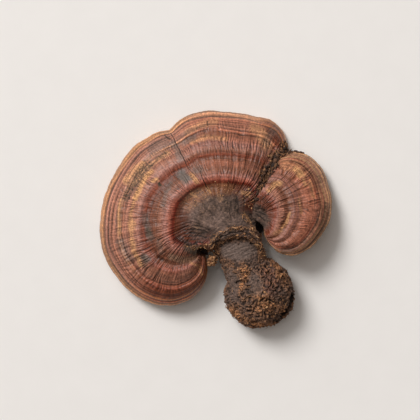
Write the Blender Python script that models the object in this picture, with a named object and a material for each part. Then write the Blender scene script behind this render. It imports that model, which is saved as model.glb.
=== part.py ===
"""Dried reishi mushroom, lying as it rests on a table: a large cap, a side cap and a stem.

Metres, +Z up, origin on the floor under the middle of the object.  The neck points towards -Y.
Sizes in the lists below are millimetres and are scaled once, by MM.
"""

import math

import bmesh
import bpy
from mathutils import Vector

MM = 0.001
GAP = 0.3                      # clearance left at the two forks
FLOOR = 0.0

# Curves of a cap, along a ray from 0 over the hub to 1 at the margin.
DOME_FLATNESS = 2.2            # how far the dome stays level
DOME_STEEPNESS = 0.62          # how suddenly it turns down at the margin
LIP = 0.93                     # place where the underside turns up into the rim
BELLY_FLATNESS = 3             # how far the underside stays level
HOLLOW_EDGE = 0.9              # where the hollow of the hub ends, on rays without rings
SAG_PLACES = (0.15, 0.6, 0.72, 1.0)
SHIFT_PLACES = (0.15, 0.36)
SHIFT_FALL = 1.2               # how fast an inward shift dies out

# Meshes.  Rows are closest together at the margin of a cap and at the ends of the stem.
MAIN_SEGMENTS = 76
MAIN_ROWS = 36
SIDE_SEGMENTS = 40
SIDE_ROWS = 26
STEM_SEGMENTS = 36
STEM_ROWS = 25
EVEN_SPACING = 0.45            # share of even spacing between the rows of a cap
END_SPACING = 0.8              # share of the closer spacing at the ends of the stem
STATION_STEP = 0.05            # step over which the stem's heading is taken
LAST_PLACE = 1e-6              # keeps a place on the stem just short of its last station

# Large cap.  Each ray runs from the edge of the hub to the margin:
# hub x, hub y, margin x, margin y, underside of the margin z, weight of the growth rings,
# droop of the flank, outward shift of the rings.
MAIN_RAYS = [
    (22.9, 12.6, 46.0, 44.8, 0.5, 0.35, 6.5, 0.06),       # cleft beside the side cap
    (20.9, 15.8, 44.1, 55.7, -1.5, 0.6, 4.0, 0.06),
    (18.4, 18.4, 36.4, 63.4, -2.2, 0.9, 1.5, 0.055),
    (13.8, 19.6, 23.5, 66.9, -2.2, 1.0, 0.3, 0.045),
    (8.1, 20.3, 9.3, 68.9, -1.2, 1.0, 0.0, 0.045),
    (1.0, 20.3, -6.1, 69.8, 0.0, 1.0, 0.0, 0.045),
    (-4.8, 19.6, -19.0, 66.3, 0.8, 1.0, 0.0, 0.04),
    (-8.7, 19.0, -28.9, 59.2, 1.0, 1.0, 0.0, 0.03),
    (-14.5, 16.4, -41.2, 54.0, 0.8, 1.0, 0.0, 0.02),
    (-18.4, 13.8, -53.5, 45.8, 0.3, 1.0, 0.0, 0.01),
    (-22.2, 10.0, -63.9, 31.5, -0.2, 1.0, 0.0, 0.01),
    (-24.8, 6.1, -71.6, 15.3, -0.6, 1.0, 0.0, 0.0),
    (-26.1, 1.0, -74.8, -2.0, -0.8, 1.0, 0.0, 0.0),       # far left, touches the table
    (-25.4, -4.2, -73.9, -17.9, 0.0, 1.0, 0.0, 0.015),
    (-24.2, -8.7, -67.9, -31.9, 1.5, 1.0, 0.0, 0.03),
    (-22.2, -12.6, -57.0, -45.2, 3.5, 1.0, 0.0, 0.03),
    (-20.3, -15.1, -43.5, -53.8, 5.5, 1.0, 0.0, 0.0),
    (-18.4, -17.1, -29.9, -56.0, 7.5, 1.0, 0.0, -0.04),
    (-16.4, -18.4, -17.7, -52.5, 9.0, 1.0, 0.5, -0.08),   # lower lobe
    (-14.5, -19.0, -10.0, -46.0, 10.5, 0.9, 1.5, -0.1),
    (-12.6, -19.0, -5.8, -37.7, 12.0, 0.8, 3.0, -0.11),
    (-10.6, -18.4, -5.3, -29.3, 13.0, 0.7, 4.0, -0.1),
    (-8.7, -17.1, -6.4, -22.9, 14.0, 0.4, 4.0, -0.08),
    (-4.8, -13.8, -2.3, -20.6, 16.0, 0.0, 2.0, 0.0),      # left leg of the hood
    (-1.6, -11.3, 1.0, -16.4, 22.0, 0.0, 0.5, 0.0),
    (3.5, -7.4, 6.8, -12.6, 27.2, 0.0, 0.0, 0.0),
    (10.6, -5.5, 15.8, -10.6, 28.2, 0.0, 0.0, 0.0),       # top of the hood's arch
    (15.8, -5.5, 22.9, -13.2, 27.2, 0.0, 0.0, 0.0),
    (19.0, -6.8, 27.4, -18.4, 22.5, 0.0, 0.0, 0.0),
    (20.9, -6.1, 31.2, -24.3, 14.0, 0.0, 0.5, 0.0),       # right leg of the hood
    (21.6, -3.5, 29.3, -17.7, 13.0, 0.0, 3.0, 0.0),
    (21.6, -1.0, 29.4, -10.4, 11.0, 0.0, 7.0, 0.0),
    (21.6, 1.6, 30.0, -4.6, 10.5, 0.0, 9.5, 0.0),
    (21.6, 4.2, 28.0, 2.0, 10.5, 0.0, 9.5, 0.0),
    (22.2, 7.4, 28.0, 10.5, 10.5, 0.0, 9.0, 0.0),
    (22.9, 9.3, 29.9, 18.4, 9.0, 0.0, 8.0, 0.0),
    (23.2, 10.6, 36.4, 29.9, 6.0, 0.1, 9.5, 0.02),
    (23.2, 11.6, 42.6, 39.0, 3.0, 0.2, 9.0, 0.04),
]
# Growth zones as (place along the ray, height above the plain dome).
MAIN_RINGS = [
    (0.00, -1.8), (0.15, -1.9), (0.25, -2.2), (0.315, -2.1), (0.35, -1.2), (0.385, 0.6),
    (0.415, 1.6), (0.455, 1.4), (0.51, 0.5), (0.555, -0.5), (0.59, -0.8), (0.62, 0.1),
    (0.65, 1.2), (0.69, 1.3), (0.735, 0.7), (0.775, -0.4), (0.80, -0.7), (0.825, 0.1),
    (0.86, 0.5), (0.90, 0.5), (0.94, 0.2), (0.97, 0.0), (1.00, 0.0),
]
MAIN_CENTRE = (1.0, 4.0)
MAIN_TOP = 33.5                # dome over the hub, before the rings are cut in
MAIN_BELLY = 13.5              # underside below the hub
MAIN_RIM = 3.6                 # half thickness at the margin
MAIN_HUB_EDGE = 0.36           # place of the hub's edge along a ray

# Side cap, in the same columns as the large cap.
SIDE_RAYS = [
    (26.7, 10.0, 38.3, 36.5, 10.0, 0.3, 2.0, 0.0),        # cleft beside the large cap
    (27.4, 10.0, 45.2, 42.0, 7.0, 0.6, 1.0, 0.035),
    (28.7, 10.0, 53.3, 42.8, 4.5, 0.8, 0.0, 0.035),
    (29.9, 8.7, 62.0, 39.4, 3.5, 1.0, 0.0, 0.035),
    (31.2, 7.4, 69.0, 31.4, 3.5, 1.0, 0.0, 0.035),
    (31.9, 6.1, 73.1, 20.9, 5.0, 1.0, 0.0, 0.035),
    (32.5, 4.2, 74.9, 10.6, 9.0, 1.0, 0.0, 0.03),         # far right
    (33.2, 2.3, 73.1, -0.3, 14.0, 1.0, 0.0, 0.015),
    (33.2, 0.3, 67.9, -10.0, 18.5, 1.0, 0.0, 0.0),
    (33.2, -1.6, 60.3, -18.4, 21.5, 1.0, 0.0, 0.0),
    (33.2, -3.5, 51.4, -22.8, 22.5, 1.0, 0.5, 0.0),
    (32.5, -4.8, 42.1, -22.4, 22.0, 0.9, 1.5, 0.0),
    (32.2, -6.1, 35.7, -17.7, 20.5, 0.7, 2.5, 0.0),
    (31.2, -6.8, 31.9, -11.9, 18.5, 0.3, 3.0, 0.0),
    (29.6, -2.6, 30.2, -3.8, 17.0, 0.0, 2.0, 0.0),
    (26.6, 0.2, 26.2, -1.6, 16.0, 0.0, 1.0, 0.0),
    (24.6, 1.6, 23.6, 0.3, 15.5, 0.0, 1.0, 0.0),          # root, against the hub
    (24.4, 6.1, 23.6, 6.8, 15.5, 0.0, 1.0, 0.0),
    (24.8, 9.3, 25.6, 17.1, 14.0, 0.0, 1.0, 0.0),
    (25.4, 10.0, 31.9, 26.7, 12.5, 0.1, 2.0, 0.0),
]
SIDE_RINGS = [
    (0.00, -3.6), (0.10, -3.3), (0.22, -1.6), (0.33, 0.4), (0.40, 0.95), (0.45, 0.45),
    (0.485, -0.2), (0.505, -0.35), (0.53, 0.0), (0.58, 0.8), (0.62, 0.3), (0.64, -0.2),
    (0.655, -0.35), (0.685, 0.2), (0.73, 0.75), (0.78, 0.5), (0.82, -0.1), (0.84, -0.3),
    (0.87, 0.0), (0.91, 0.2), (0.95, 0.0), (1.00, 0.0),
]
SIDE_CENTRE = (28.5, 2.0)
SIDE_TOP = 29.0
SIDE_BELLY = 15.5
SIDE_RIM = 3.0
SIDE_HUB_EDGE = 0.22

# Stem, from its nose inside the hub to the tip of the swollen base:
# centre x, y, level of its widest part, half width across, height above that level, depth below it.
STEM_STATIONS = [
    (3.5, 1.6, 21.0, 11.0, 6.5, 6.5),
    (7.4, -5.5, 21.0, 12.5, 8.5, 8.5),
    (11.8, -13.2, 20.3, 13.6, 9.3, 10.5),
    (15.7, -20.9, 18.8, 14.0, 10.8, 11.0),
    (18.6, -27.9, 16.5, 14.7, 13.2, 11.8),
    (22.3, -34.9, 13.5, 17.4, 16.6, 12.4),
    (25.5, -41.8, 11.2, 21.2, 20.8, 13.2),
    (28.6, -50.0, 9.8, 21.5, 22.8, 12.8),           # middle of the swollen base
    (34.4, -68.2, 8.5, 21.4, 24.0, 11.5),
]
STEM_NOSE_END = 1.0            # stations over which the nose is rounded
STEM_BASE_START = 7.0          # station from which the base is rounded off

CAP_COLOUR = (0.20, 0.055, 0.035)
SIDE_COLOUR = (0.24, 0.075, 0.045)
STEM_COLOUR = (0.060, 0.036, 0.026)
CAP_ROUGHNESS = 0.42
STEM_ROUGHNESS = 0.90
SMOOTH_ANGLE = math.radians(40)


def clear_scene():
    for obj in list(bpy.data.objects):
        bpy.data.objects.remove(obj)


def new_collection(name):
    collection = bpy.data.collections.new(name)
    bpy.context.scene.collection.children.link(collection)
    return collection


def skin_material(name, colour, roughness):
    material = bpy.data.materials.new(name)
    material.use_nodes = True
    shader = material.node_tree.nodes["Principled BSDF"]
    shader.inputs["Base Color"].default_value = (*colour, 1.0)
    shader.inputs["Roughness"].default_value = roughness
    shader.inputs["Metallic"].default_value = 0.0
    return material


def spline(before, start, end, after, part):
    """Catmull-Rom value between start and end, at part 0 to 1 of the way."""
    slope_in = (end - before) / 2
    slope_out = (after - start) / 2
    drop = start - end
    cubic = 2 * drop + slope_in + slope_out
    square = -3 * drop - 2 * slope_in - slope_out
    return ((cubic * part + square) * part + slope_in) * part + start


def along(rows, place, closed):
    """Row of values at a place, counted in rows, on the smooth curve through all of them."""
    count = len(rows)
    index = int(math.floor(place))
    part = place - index
    picks = [index - 1, index, index + 1, index + 2]
    if closed:
        four = [rows[pick % count] for pick in picks]
    else:
        four = [rows[min(max(pick, 0), count - 1)] for pick in picks]
    return [spline(*values, part) for values in zip(*four)]


def mix(start, end, part):
    return start + (end - start) * part


def clamp(value):
    return min(max(value, 0.0), 1.0)


def ease(low, high, value):
    """Smooth step from 0 at low to 1 at high."""
    part = clamp((value - low) / (high - low))
    return part * part * (3 - 2 * part)


def slope_at(stops, index):
    """Slope of the curve through the stops at one of them, from its neighbours on both sides."""
    before = stops[max(index - 1, 0)]
    here = stops[index]
    after = stops[min(index + 1, len(stops) - 1)]
    if here == before or here == after:
        return (after[1] - before[1]) / (after[0] - before[0])
    back = here[0] - before[0]
    ahead = after[0] - here[0]
    slope_back = (here[1] - before[1]) / back
    slope_ahead = (after[1] - here[1]) / ahead
    return (slope_back * ahead + slope_ahead * back) / (back + ahead)


def ring_height(stops, place):
    """Height of the growth zones at a place along a ray."""
    index = 0
    while index < len(stops) - 2 and stops[index + 1][0] <= place:
        index += 1
    start, low = stops[index]
    end, high = stops[index + 1]
    span = end - start
    part = clamp((place - start) / span)
    slope_in = slope_at(stops, index)
    slope_out = slope_at(stops, index + 1)
    bend = span * part * (1 - part) * ((1 - part) * slope_in - part * slope_out)
    return mix(low, high, ease(0.0, 1.0, part)) + bend


def dome(place):
    """Height of a plain cap from 1 over the hub to 0 at the margin."""
    return max(1.0 - place ** DOME_FLATNESS, 0.0) ** DOME_STEEPNESS


def plan_point(centre, hub, edge, share, place):
    """Coordinate out along a ray, from the centre by way of the hub's edge to the margin."""
    if place > share:
        return mix(hub, edge, (place - share) / (1.0 - share))
    return mix(centre, hub, place / share)


def cap_point(cap, turn, place, upper):
    """Point of a cap at a turn of 0 to 1 round the hub and a place of 0 to 1 out to the margin."""
    row = along(cap["rays"], turn * len(cap["rays"]), closed=True)
    hub_x, hub_y, edge_x, edge_y, edge_z, ring_weight, droop, shift = row
    share = cap["hub_edge"]
    x = plan_point(cap["centre"][0], hub_x, edge_x, share, place)
    y = plan_point(cap["centre"][1], hub_y, edge_y, share, place)
    margin_z = edge_z + cap["rim"]
    if not upper and place > LIP:
        turned = (place - LIP) / (1.0 - LIP)
        return x, y, margin_z - cap["rim"] * math.sqrt(max(1.0 - turned * turned, 0.0))
    if not upper:
        level = 1.0 - (place / LIP) ** BELLY_FLATNESS
        return x, y, mix(edge_z, cap["belly"], level)
    out = clamp((place - share) / (1.0 - share))
    fade = 1 - out * out if shift > 0 else (1 - out) ** SHIFT_FALL
    growth = place - shift * fade * ease(*SHIFT_PLACES, place)
    hollow = cap["rings"][0][1] * (1 - ease(0.0, HOLLOW_EDGE, place))
    rings = mix(hollow, ring_height(cap["rings"], growth), clamp(ring_weight))
    start, full, easing, end = SAG_PLACES
    sag = max(droop, 0.0) * ease(start, full, place) * (1 - ease(easing, end, place))
    return x, y, mix(margin_z, cap["top"], dome(place)) + rings - sag


def sphere_mesh(segments, rings):
    """Unit sphere with each vertex's turn about Z and its polar share, 0 at the top pole."""
    mesh = bmesh.new()
    bmesh.ops.create_uvsphere(mesh, u_segments=segments, v_segments=rings, radius=1.0)
    places = []
    for vertex in mesh.verts:
        turn = (math.atan2(vertex.co.y, vertex.co.x) / math.tau) % 1.0
        polar = math.acos(max(-1.0, min(1.0, vertex.co.z))) / math.pi
        places.append((vertex, turn, polar))
    return mesh, places


def shape_cap(cap, segments, rings):
    mesh, places = sphere_mesh(segments, rings)
    for vertex, turn, polar in places:
        upper = polar <= 0.5
        share = 2 * polar if upper else 2 * (1.0 - polar)
        place = mix(math.sin(share * math.pi / 2), share, EVEN_SPACING)
        vertex.co = Vector(cap_point(cap, turn, min(place, 1.0), upper)) * MM
    return mesh


def round_off(place, last):
    """Share of the full girth that is left as both ends of the stem are rounded off."""
    nose = max(1.0 - place / STEM_NOSE_END, 0.0)
    base = max(place - STEM_BASE_START, 0.0) / (last - STEM_BASE_START)
    return math.sqrt(max(1.0 - nose * nose - base * base, 0.0))


def shape_stem(stations, segments, rings):
    """Sphere drawn out along the stem's centre line, with its poles at the two ends."""
    mesh, places = sphere_mesh(segments, rings)
    last = len(stations) - 1
    for vertex, turn, polar in places:
        close_ends = 0.5 - 0.5 * math.cos(math.pi * polar)
        place = min(last * mix(polar, close_ends, END_SPACING), last - LAST_PLACE)
        x, y, z, half_width, above, below = along(stations, place, closed=False)
        ahead = along(stations, min(place + STATION_STEP, last - LAST_PLACE), closed=False)
        behind = along(stations, max(place - STATION_STEP, 0.0), closed=False)
        forward = Vector((ahead[0] - behind[0], ahead[1] - behind[1], 0.0)).normalized()
        across = Vector((-forward.y, forward.x, 0.0))
        girth = round_off(place, last)
        reach = math.cos(turn * math.tau) * half_width * girth
        height = math.sin(turn * math.tau) * girth
        rise = height * (above if height > 0 else below)
        vertex.co = (Vector((x, y, z + rise)) + across * reach) * MM
    return mesh


def cut_flat(mesh):
    """Cut everything below the table away and close the cut with a flat face."""
    result = bmesh.ops.bisect_plane(
        mesh,
        geom=mesh.verts[:] + mesh.edges[:] + mesh.faces[:],
        plane_co=(0, 0, FLOOR),
        plane_no=(0, 0, 1),
        clear_inner=True,
    )
    rim = [item for item in result["geom_cut"] if isinstance(item, bmesh.types.BMEdge)]
    bmesh.ops.holes_fill(mesh, edges=rim, sides=0)


def face_outwards(mesh):
    bmesh.ops.recalc_face_normals(mesh, faces=mesh.faces)
    if mesh.calc_volume(signed=True) < 0:
        bmesh.ops.reverse_faces(mesh, faces=mesh.faces)


def add_object(name, mesh, collection, material=None):
    face_outwards(mesh)
    data = bpy.data.meshes.new(name)
    mesh.to_mesh(data)
    mesh.free()
    if material:
        data.materials.append(material)
        data.shade_smooth()
        data.set_sharp_from_angle(angle=SMOOTH_ANGLE)
    obj = bpy.data.objects.new(name, data)
    collection.objects.link(obj)
    return obj


def add_cutter(source, collection):
    """Copy of a piece, swollen by the gap, that cuts its neighbour."""
    cutter = bpy.data.objects.new(source.name + "_cutter", source.data.copy())
    collection.objects.link(cutter)
    cutter.hide_render = True
    cutter.display_type = "WIRE"
    swell = cutter.modifiers.new("swell", "DISPLACE")
    swell.strength = GAP * MM
    swell.mid_level = 0.0
    return cutter


def cut_by(piece, cutter):
    cut = piece.modifiers.new("cut by " + cutter.name, "BOOLEAN")
    cut.operation = "DIFFERENCE"
    cut.object = cutter
    cut.solver = "EXACT"


def main():
    clear_scene()
    parts = new_collection("Dried reishi mushroom")
    cutters = new_collection("Cutters")

    main_cap_shape = {
        "rays": MAIN_RAYS,
        "rings": MAIN_RINGS,
        "centre": MAIN_CENTRE,
        "top": MAIN_TOP,
        "belly": MAIN_BELLY,
        "rim": MAIN_RIM,
        "hub_edge": MAIN_HUB_EDGE,
    }
    side_cap_shape = {
        "rays": SIDE_RAYS,
        "rings": SIDE_RINGS,
        "centre": SIDE_CENTRE,
        "top": SIDE_TOP,
        "belly": SIDE_BELLY,
        "rim": SIDE_RIM,
        "hub_edge": SIDE_HUB_EDGE,
    }

    crust = skin_material("crust", STEM_COLOUR, STEM_ROUGHNESS)
    main_skin = skin_material("skin", CAP_COLOUR, CAP_ROUGHNESS)
    side_skin = skin_material("side skin", SIDE_COLOUR, CAP_ROUGHNESS)

    stem_mesh = shape_stem(STEM_STATIONS, STEM_SEGMENTS, STEM_ROWS)
    cut_flat(stem_mesh)
    stem = add_object("stem", stem_mesh, parts, crust)
    stem_cutter = add_cutter(stem, cutters)

    main_mesh = shape_cap(main_cap_shape, MAIN_SEGMENTS, MAIN_ROWS)
    cut_flat(main_mesh)
    main_cap = add_object("main_cap", main_mesh, parts, main_skin)
    main_cutter = add_cutter(main_cap, cutters)
    cut_by(main_cap, stem_cutter)

    side_mesh = shape_cap(side_cap_shape, SIDE_SEGMENTS, SIDE_ROWS)
    side_cap = add_object("side_cap", side_mesh, parts, side_skin)
    cut_by(side_cap, main_cutter)
    cut_by(side_cap, stem_cutter)


main()
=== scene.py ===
"""Looks of the dried reishi mushroom: finely wrinkled caps, crusted stem, loose crumbs and fibres."""

import math

import bpy
import numpy as np
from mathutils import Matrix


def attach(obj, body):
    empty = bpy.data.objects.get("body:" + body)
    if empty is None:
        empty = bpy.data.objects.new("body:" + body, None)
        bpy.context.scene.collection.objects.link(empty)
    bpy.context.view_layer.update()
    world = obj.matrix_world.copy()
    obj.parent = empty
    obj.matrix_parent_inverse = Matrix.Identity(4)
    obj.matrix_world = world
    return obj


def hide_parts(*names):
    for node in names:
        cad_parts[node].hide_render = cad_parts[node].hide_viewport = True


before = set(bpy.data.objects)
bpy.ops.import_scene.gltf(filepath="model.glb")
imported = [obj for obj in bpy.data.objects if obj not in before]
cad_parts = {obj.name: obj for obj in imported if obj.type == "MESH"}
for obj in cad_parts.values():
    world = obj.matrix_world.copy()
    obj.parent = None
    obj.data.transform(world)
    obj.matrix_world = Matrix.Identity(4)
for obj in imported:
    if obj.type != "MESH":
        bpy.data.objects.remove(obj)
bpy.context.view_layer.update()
MM = 0.001

# ---------------------------------------------------------------- plan of the growth, in millimetres
# Large cap.  Each ray runs from the edge of the hub to the margin:
# hub x, hub y, margin x, margin y, underside of the margin z, weight of the growth rings,
# droop of the flank, outward shift of the rings, strength of the radial wrinkles.
MAIN_RAYS = np.array([
    (22.9, 12.6, 46.0, 44.8, 0.5, 0.35, 6.5, 0.06, 2.6),     # cleft beside the side cap
    (20.9, 15.8, 44.1, 55.7, -1.5, 0.6, 4.0, 0.06, 2.3),
    (18.4, 18.4, 36.4, 63.4, -2.2, 0.9, 1.5, 0.055, 1.6),
    (13.8, 19.6, 23.5, 66.9, -2.2, 1.0, 0.3, 0.045, 1.3),
    (8.1, 20.3, 9.3, 68.9, -1.2, 1.0, 0.0, 0.045, 1.1),
    (1.0, 20.3, -6.1, 69.8, 0.0, 1.0, 0.0, 0.045, 1.0),
    (-4.8, 19.6, -19.0, 66.3, 0.8, 1.0, 0.0, 0.04, 0.9),
    (-8.7, 19.0, -28.9, 59.2, 1.0, 1.0, 0.0, 0.03, 0.9),
    (-14.5, 16.4, -41.2, 54.0, 0.8, 1.0, 0.0, 0.02, 0.9),
    (-18.4, 13.8, -53.5, 45.8, 0.3, 1.0, 0.0, 0.01, 0.9),
    (-22.2, 10.0, -63.9, 31.5, -0.2, 1.0, 0.0, 0.01, 0.9),
    (-24.8, 6.1, -71.6, 15.3, -0.6, 1.0, 0.0, 0.0, 1.0),
    (-26.1, 1.0, -74.8, -2.0, -0.8, 1.0, 0.0, 0.0, 1.0),      # far left, touches the table
    (-25.4, -4.2, -73.9, -17.9, 0.0, 1.0, 0.0, 0.015, 1.1),
    (-24.2, -8.7, -67.9, -31.9, 1.5, 1.0, 0.0, 0.03, 1.4),
    (-22.2, -12.6, -57.0, -45.2, 3.5, 1.0, 0.0, 0.03, 1.6),
    (-20.3, -15.1, -43.5, -53.8, 5.5, 1.0, 0.0, 0.0, 1.4),
    (-18.4, -17.1, -29.9, -56.0, 7.5, 1.0, 0.0, -0.04, 1.1),
    (-16.4, -18.4, -17.7, -52.5, 9.0, 1.0, 0.5, -0.08, 1.0),    # lower lobe
    (-14.5, -19.0, -10.0, -46.0, 10.5, 0.9, 1.5, -0.1, 0.9),
    (-12.6, -19.0, -5.8, -37.7, 12.0, 0.8, 3.0, -0.11, 0.9),
    (-10.6, -18.4, -5.3, -29.3, 13.0, 0.7, 4.0, -0.1, 1.0),
    (-8.7, -17.1, -6.4, -22.9, 14.0, 0.4, 4.0, -0.08, 1.0),
    (-4.8, -13.8, -2.3, -20.6, 16.0, 0.0, 2.0, 0.0, 0.8),     # left leg of the hood
    (-1.6, -11.3, 1.0, -16.4, 22.0, 0.0, 0.5, 0.0, 0.4),
    (3.5, -7.4, 6.8, -12.6, 27.2, 0.0, 0.0, 0.0, 0.3),
    (10.6, -5.5, 15.8, -10.6, 28.2, 0.0, 0.0, 0.0, 0.3),      # top of the hood's arch
    (15.8, -5.5, 22.9, -13.2, 27.2, 0.0, 0.0, 0.0, 0.3),
    (19.0, -6.8, 27.4, -18.4, 22.5, 0.0, 0.0, 0.0, 0.3),
    (20.9, -6.1, 31.2, -24.3, 14.0, 0.0, 0.5, 0.0, 0.3),      # right leg of the hood
    (21.6, -3.5, 29.3, -17.7, 13.0, 0.0, 3.0, 0.0, 0.3),
    (21.6, -1.0, 29.4, -10.4, 11.0, 0.0, 7.0, 0.0, 0.3),
    (21.6, 1.6, 30.0, -4.6, 10.5, 0.0, 9.5, 0.0, 0.4),
    (21.6, 4.2, 28.0, 2.0, 10.5, 0.0, 9.5, 0.0, 0.6),
    (22.2, 7.4, 28.0, 10.5, 10.5, 0.0, 9.0, 0.0, 1.0),
    (22.9, 9.3, 29.9, 18.4, 9.0, 0.0, 8.0, 0.0, 1.6),
    (23.2, 10.6, 36.4, 29.9, 6.0, 0.1, 9.5, 0.02, 2.4),
    (23.2, 11.6, 42.6, 39.0, 3.0, 0.2, 9.0, 0.04, 2.6),
])
# Growth zones of the large cap: place out along a ray, height above the plain dome.
MAIN_RINGS = [
    (0.00, -1.8), (0.15, -1.9), (0.25, -2.2), (0.315, -2.1), (0.35, -1.2), (0.385, 0.6),
    (0.415, 1.6), (0.455, 1.4), (0.51, 0.5), (0.555, -0.5), (0.59, -0.8), (0.62, 0.1),
    (0.65, 1.2), (0.69, 1.3), (0.735, 0.7), (0.775, -0.4), (0.80, -0.7), (0.825, 0.1),
    (0.86, 0.5), (0.90, 0.5), (0.94, 0.2), (0.97, 0.0), (1.00, 0.0),
]
SIDE_RAYS = np.array([
    (26.7, 10.0, 38.3, 36.5, 10.0, 0.3, 2.0, 0.0, 1.2),       # cleft beside the large cap
    (27.4, 10.0, 45.2, 42.0, 7.0, 0.6, 1.0, 0.035, 1.0),
    (28.7, 10.0, 53.3, 42.8, 4.5, 0.8, 0.0, 0.035, 1.0),
    (29.9, 8.7, 62.0, 39.4, 3.5, 1.0, 0.0, 0.035, 1.1),
    (31.2, 7.4, 69.0, 31.4, 3.5, 1.0, 0.0, 0.035, 1.2),
    (31.9, 6.1, 73.1, 20.9, 5.0, 1.0, 0.0, 0.035, 1.3),
    (32.5, 4.2, 74.9, 10.6, 9.0, 1.0, 0.0, 0.03, 1.3),         # far right
    (33.2, 2.3, 73.1, -0.3, 14.0, 1.0, 0.0, 0.015, 1.1),
    (33.2, 0.3, 67.9, -10.0, 18.5, 1.0, 0.0, 0.0, 1.0),
    (33.2, -1.6, 60.3, -18.4, 21.5, 1.0, 0.0, 0.0, 0.9),
    (33.2, -3.5, 51.4, -22.8, 22.5, 1.0, 0.5, 0.0, 0.8),
    (32.5, -4.8, 42.1, -22.4, 22.0, 0.9, 1.5, 0.0, 0.8),
    (32.2, -6.1, 35.7, -17.7, 20.5, 0.7, 2.5, 0.0, 0.7),
    (31.2, -6.8, 31.9, -11.9, 18.5, 0.3, 3.0, 0.0, 0.6),
    (29.6, -2.6, 30.2, -3.8, 17.0, 0.0, 2.0, 0.0, 0.5),
    (26.6, 0.2, 26.2, -1.6, 16.0, 0.0, 1.0, 0.0, 0.5),
    (24.6, 1.6, 23.6, 0.3, 15.5, 0.0, 1.0, 0.0, 0.5),         # root, against the hub
    (24.4, 6.1, 23.6, 6.8, 15.5, 0.0, 1.0, 0.0, 0.5),
    (24.8, 9.3, 25.6, 17.1, 14.0, 0.0, 1.0, 0.0, 0.6),
    (25.4, 10.0, 31.9, 26.7, 12.5, 0.1, 2.0, 0.0, 1.0),
])
SIDE_RINGS = [
    (0.00, -3.6), (0.10, -3.3), (0.22, -1.6), (0.33, 0.4), (0.40, 0.95), (0.45, 0.45),
    (0.485, -0.2), (0.505, -0.35), (0.53, 0.0), (0.58, 0.8), (0.62, 0.3), (0.64, -0.2),
    (0.655, -0.35), (0.685, 0.2), (0.73, 0.75), (0.78, 0.5), (0.82, -0.1), (0.84, -0.3),
    (0.87, 0.0), (0.91, 0.2), (0.95, 0.0), (1.00, 0.0),
]
MAIN_CAP = {
    "rays": MAIN_RAYS, "rings": MAIN_RINGS, "centre": (1.0, 4.0), "top": 33.5, "belly": 13.5,
    "rim": 3.6, "hub_edge": 0.36,
}
SIDE_CAP = {
    "rays": SIDE_RAYS, "rings": SIDE_RINGS, "centre": (28.5, 2.0), "top": 29.0, "belly": 15.5,
    "rim": 3.0, "hub_edge": 0.22,
}
# Stem, from its nose inside the hub to the tip of the swollen base:
# centre x, y, level of its widest part, half width across, height above that level, depth below it.
STEM_STATIONS = np.array([
    (3.5, 1.6, 21.0, 11.0, 6.5, 6.5),
    (7.4, -5.5, 21.0, 12.5, 8.5, 8.5),
    (11.8, -13.2, 20.3, 13.6, 9.3, 10.5),
    (15.7, -20.9, 18.8, 14.0, 10.8, 11.0),
    (18.6, -27.9, 16.5, 14.7, 13.2, 11.8),
    (22.3, -34.9, 13.5, 17.4, 16.6, 12.4),
    (25.5, -41.8, 11.2, 21.2, 20.8, 13.2),
    (28.6, -50.0, 9.8, 21.5, 22.8, 12.8),           # middle of the swollen base
    (34.4, -68.2, 8.5, 21.4, 24.0, 11.5),
])
STEM_NOSE_END = 1.0            # stations over which the nose is rounded
STEM_BASE_START = 7.0          # station from which the base is rounded off
STATION_STEP = 0.05            # step over which the stem's heading is taken
LAST_PLACE = 1e-4              # keeps a place on the stem just short of its last station

# Curves of a cap, along a ray from 0 over the hub to 1 at the margin.
DOME_FLATNESS = 2.2            # how far the dome stays level
DOME_STEEPNESS = 0.62          # how suddenly it turns down at the margin
LIP = 0.93                     # place where the underside turns up into the rim
BELLY_FLATNESS = 3             # how far the underside stays level
HOLLOW_EDGE = 0.9              # where the hollow of the hub ends, on rays without rings
SAG_PLACES = (0.15, 0.6, 0.72, 1.0)
SHIFT_PLACES = (0.15, 0.36)
SHIFT_FALL = 1.2               # how fast an inward shift dies out


# ---------------------------------------------------------------- curves and noise
def mix(start, end, part):
    return start + (end - start) * part


def ease(low, high, value):
    """0 below low, 1 above high, smooth between them."""
    part = np.clip((value - low) / (high - low), 0.0, 1.0)
    return part * part * (3.0 - 2.0 * part)


def bump(centre, width, value):
    return np.exp(-(((value - centre) / width) ** 2))


def smooth_rows(rows, place, closed=True):
    """Rows of values at places, counted in rows, on the smooth curve through all of them."""
    count = len(rows)
    index = np.floor(place).astype(int)
    part = (place - index)[..., None]
    if closed:
        before, start, end, after = (rows[(index + step) % count] for step in (-1, 0, 1, 2))
    else:
        picks = [np.clip(index + step, 0, count - 1) for step in (-1, 0, 1, 2)]
        before, start, end, after = (rows[pick] for pick in picks)
    slope_in = (end - before) / 2
    slope_out = (after - start) / 2
    drop = start - end
    cubic = 2 * drop + slope_in + slope_out
    square = -3 * drop - 2 * slope_in - slope_out
    return ((cubic * part + square) * part + slope_in) * part + start


def smooth_profile(stops, value):
    """Height at a value on a soft curve through (place, height) stops."""
    places, heights = np.array(stops).T
    slopes = np.gradient(heights, places)
    index = np.clip(np.searchsorted(places, value, side="right") - 1, 0, len(places) - 2)
    span = places[index + 1] - places[index]
    part = np.clip((value - places[index]) / span, 0.0, 1.0)
    rise = part * part * (3 - 2 * part)
    start = part * (1 - part) ** 2 * span * slopes[index]
    end = part * part * (part - 1) * span * slopes[index + 1]
    return mix(heights[index], heights[index + 1], rise) + start + end


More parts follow.
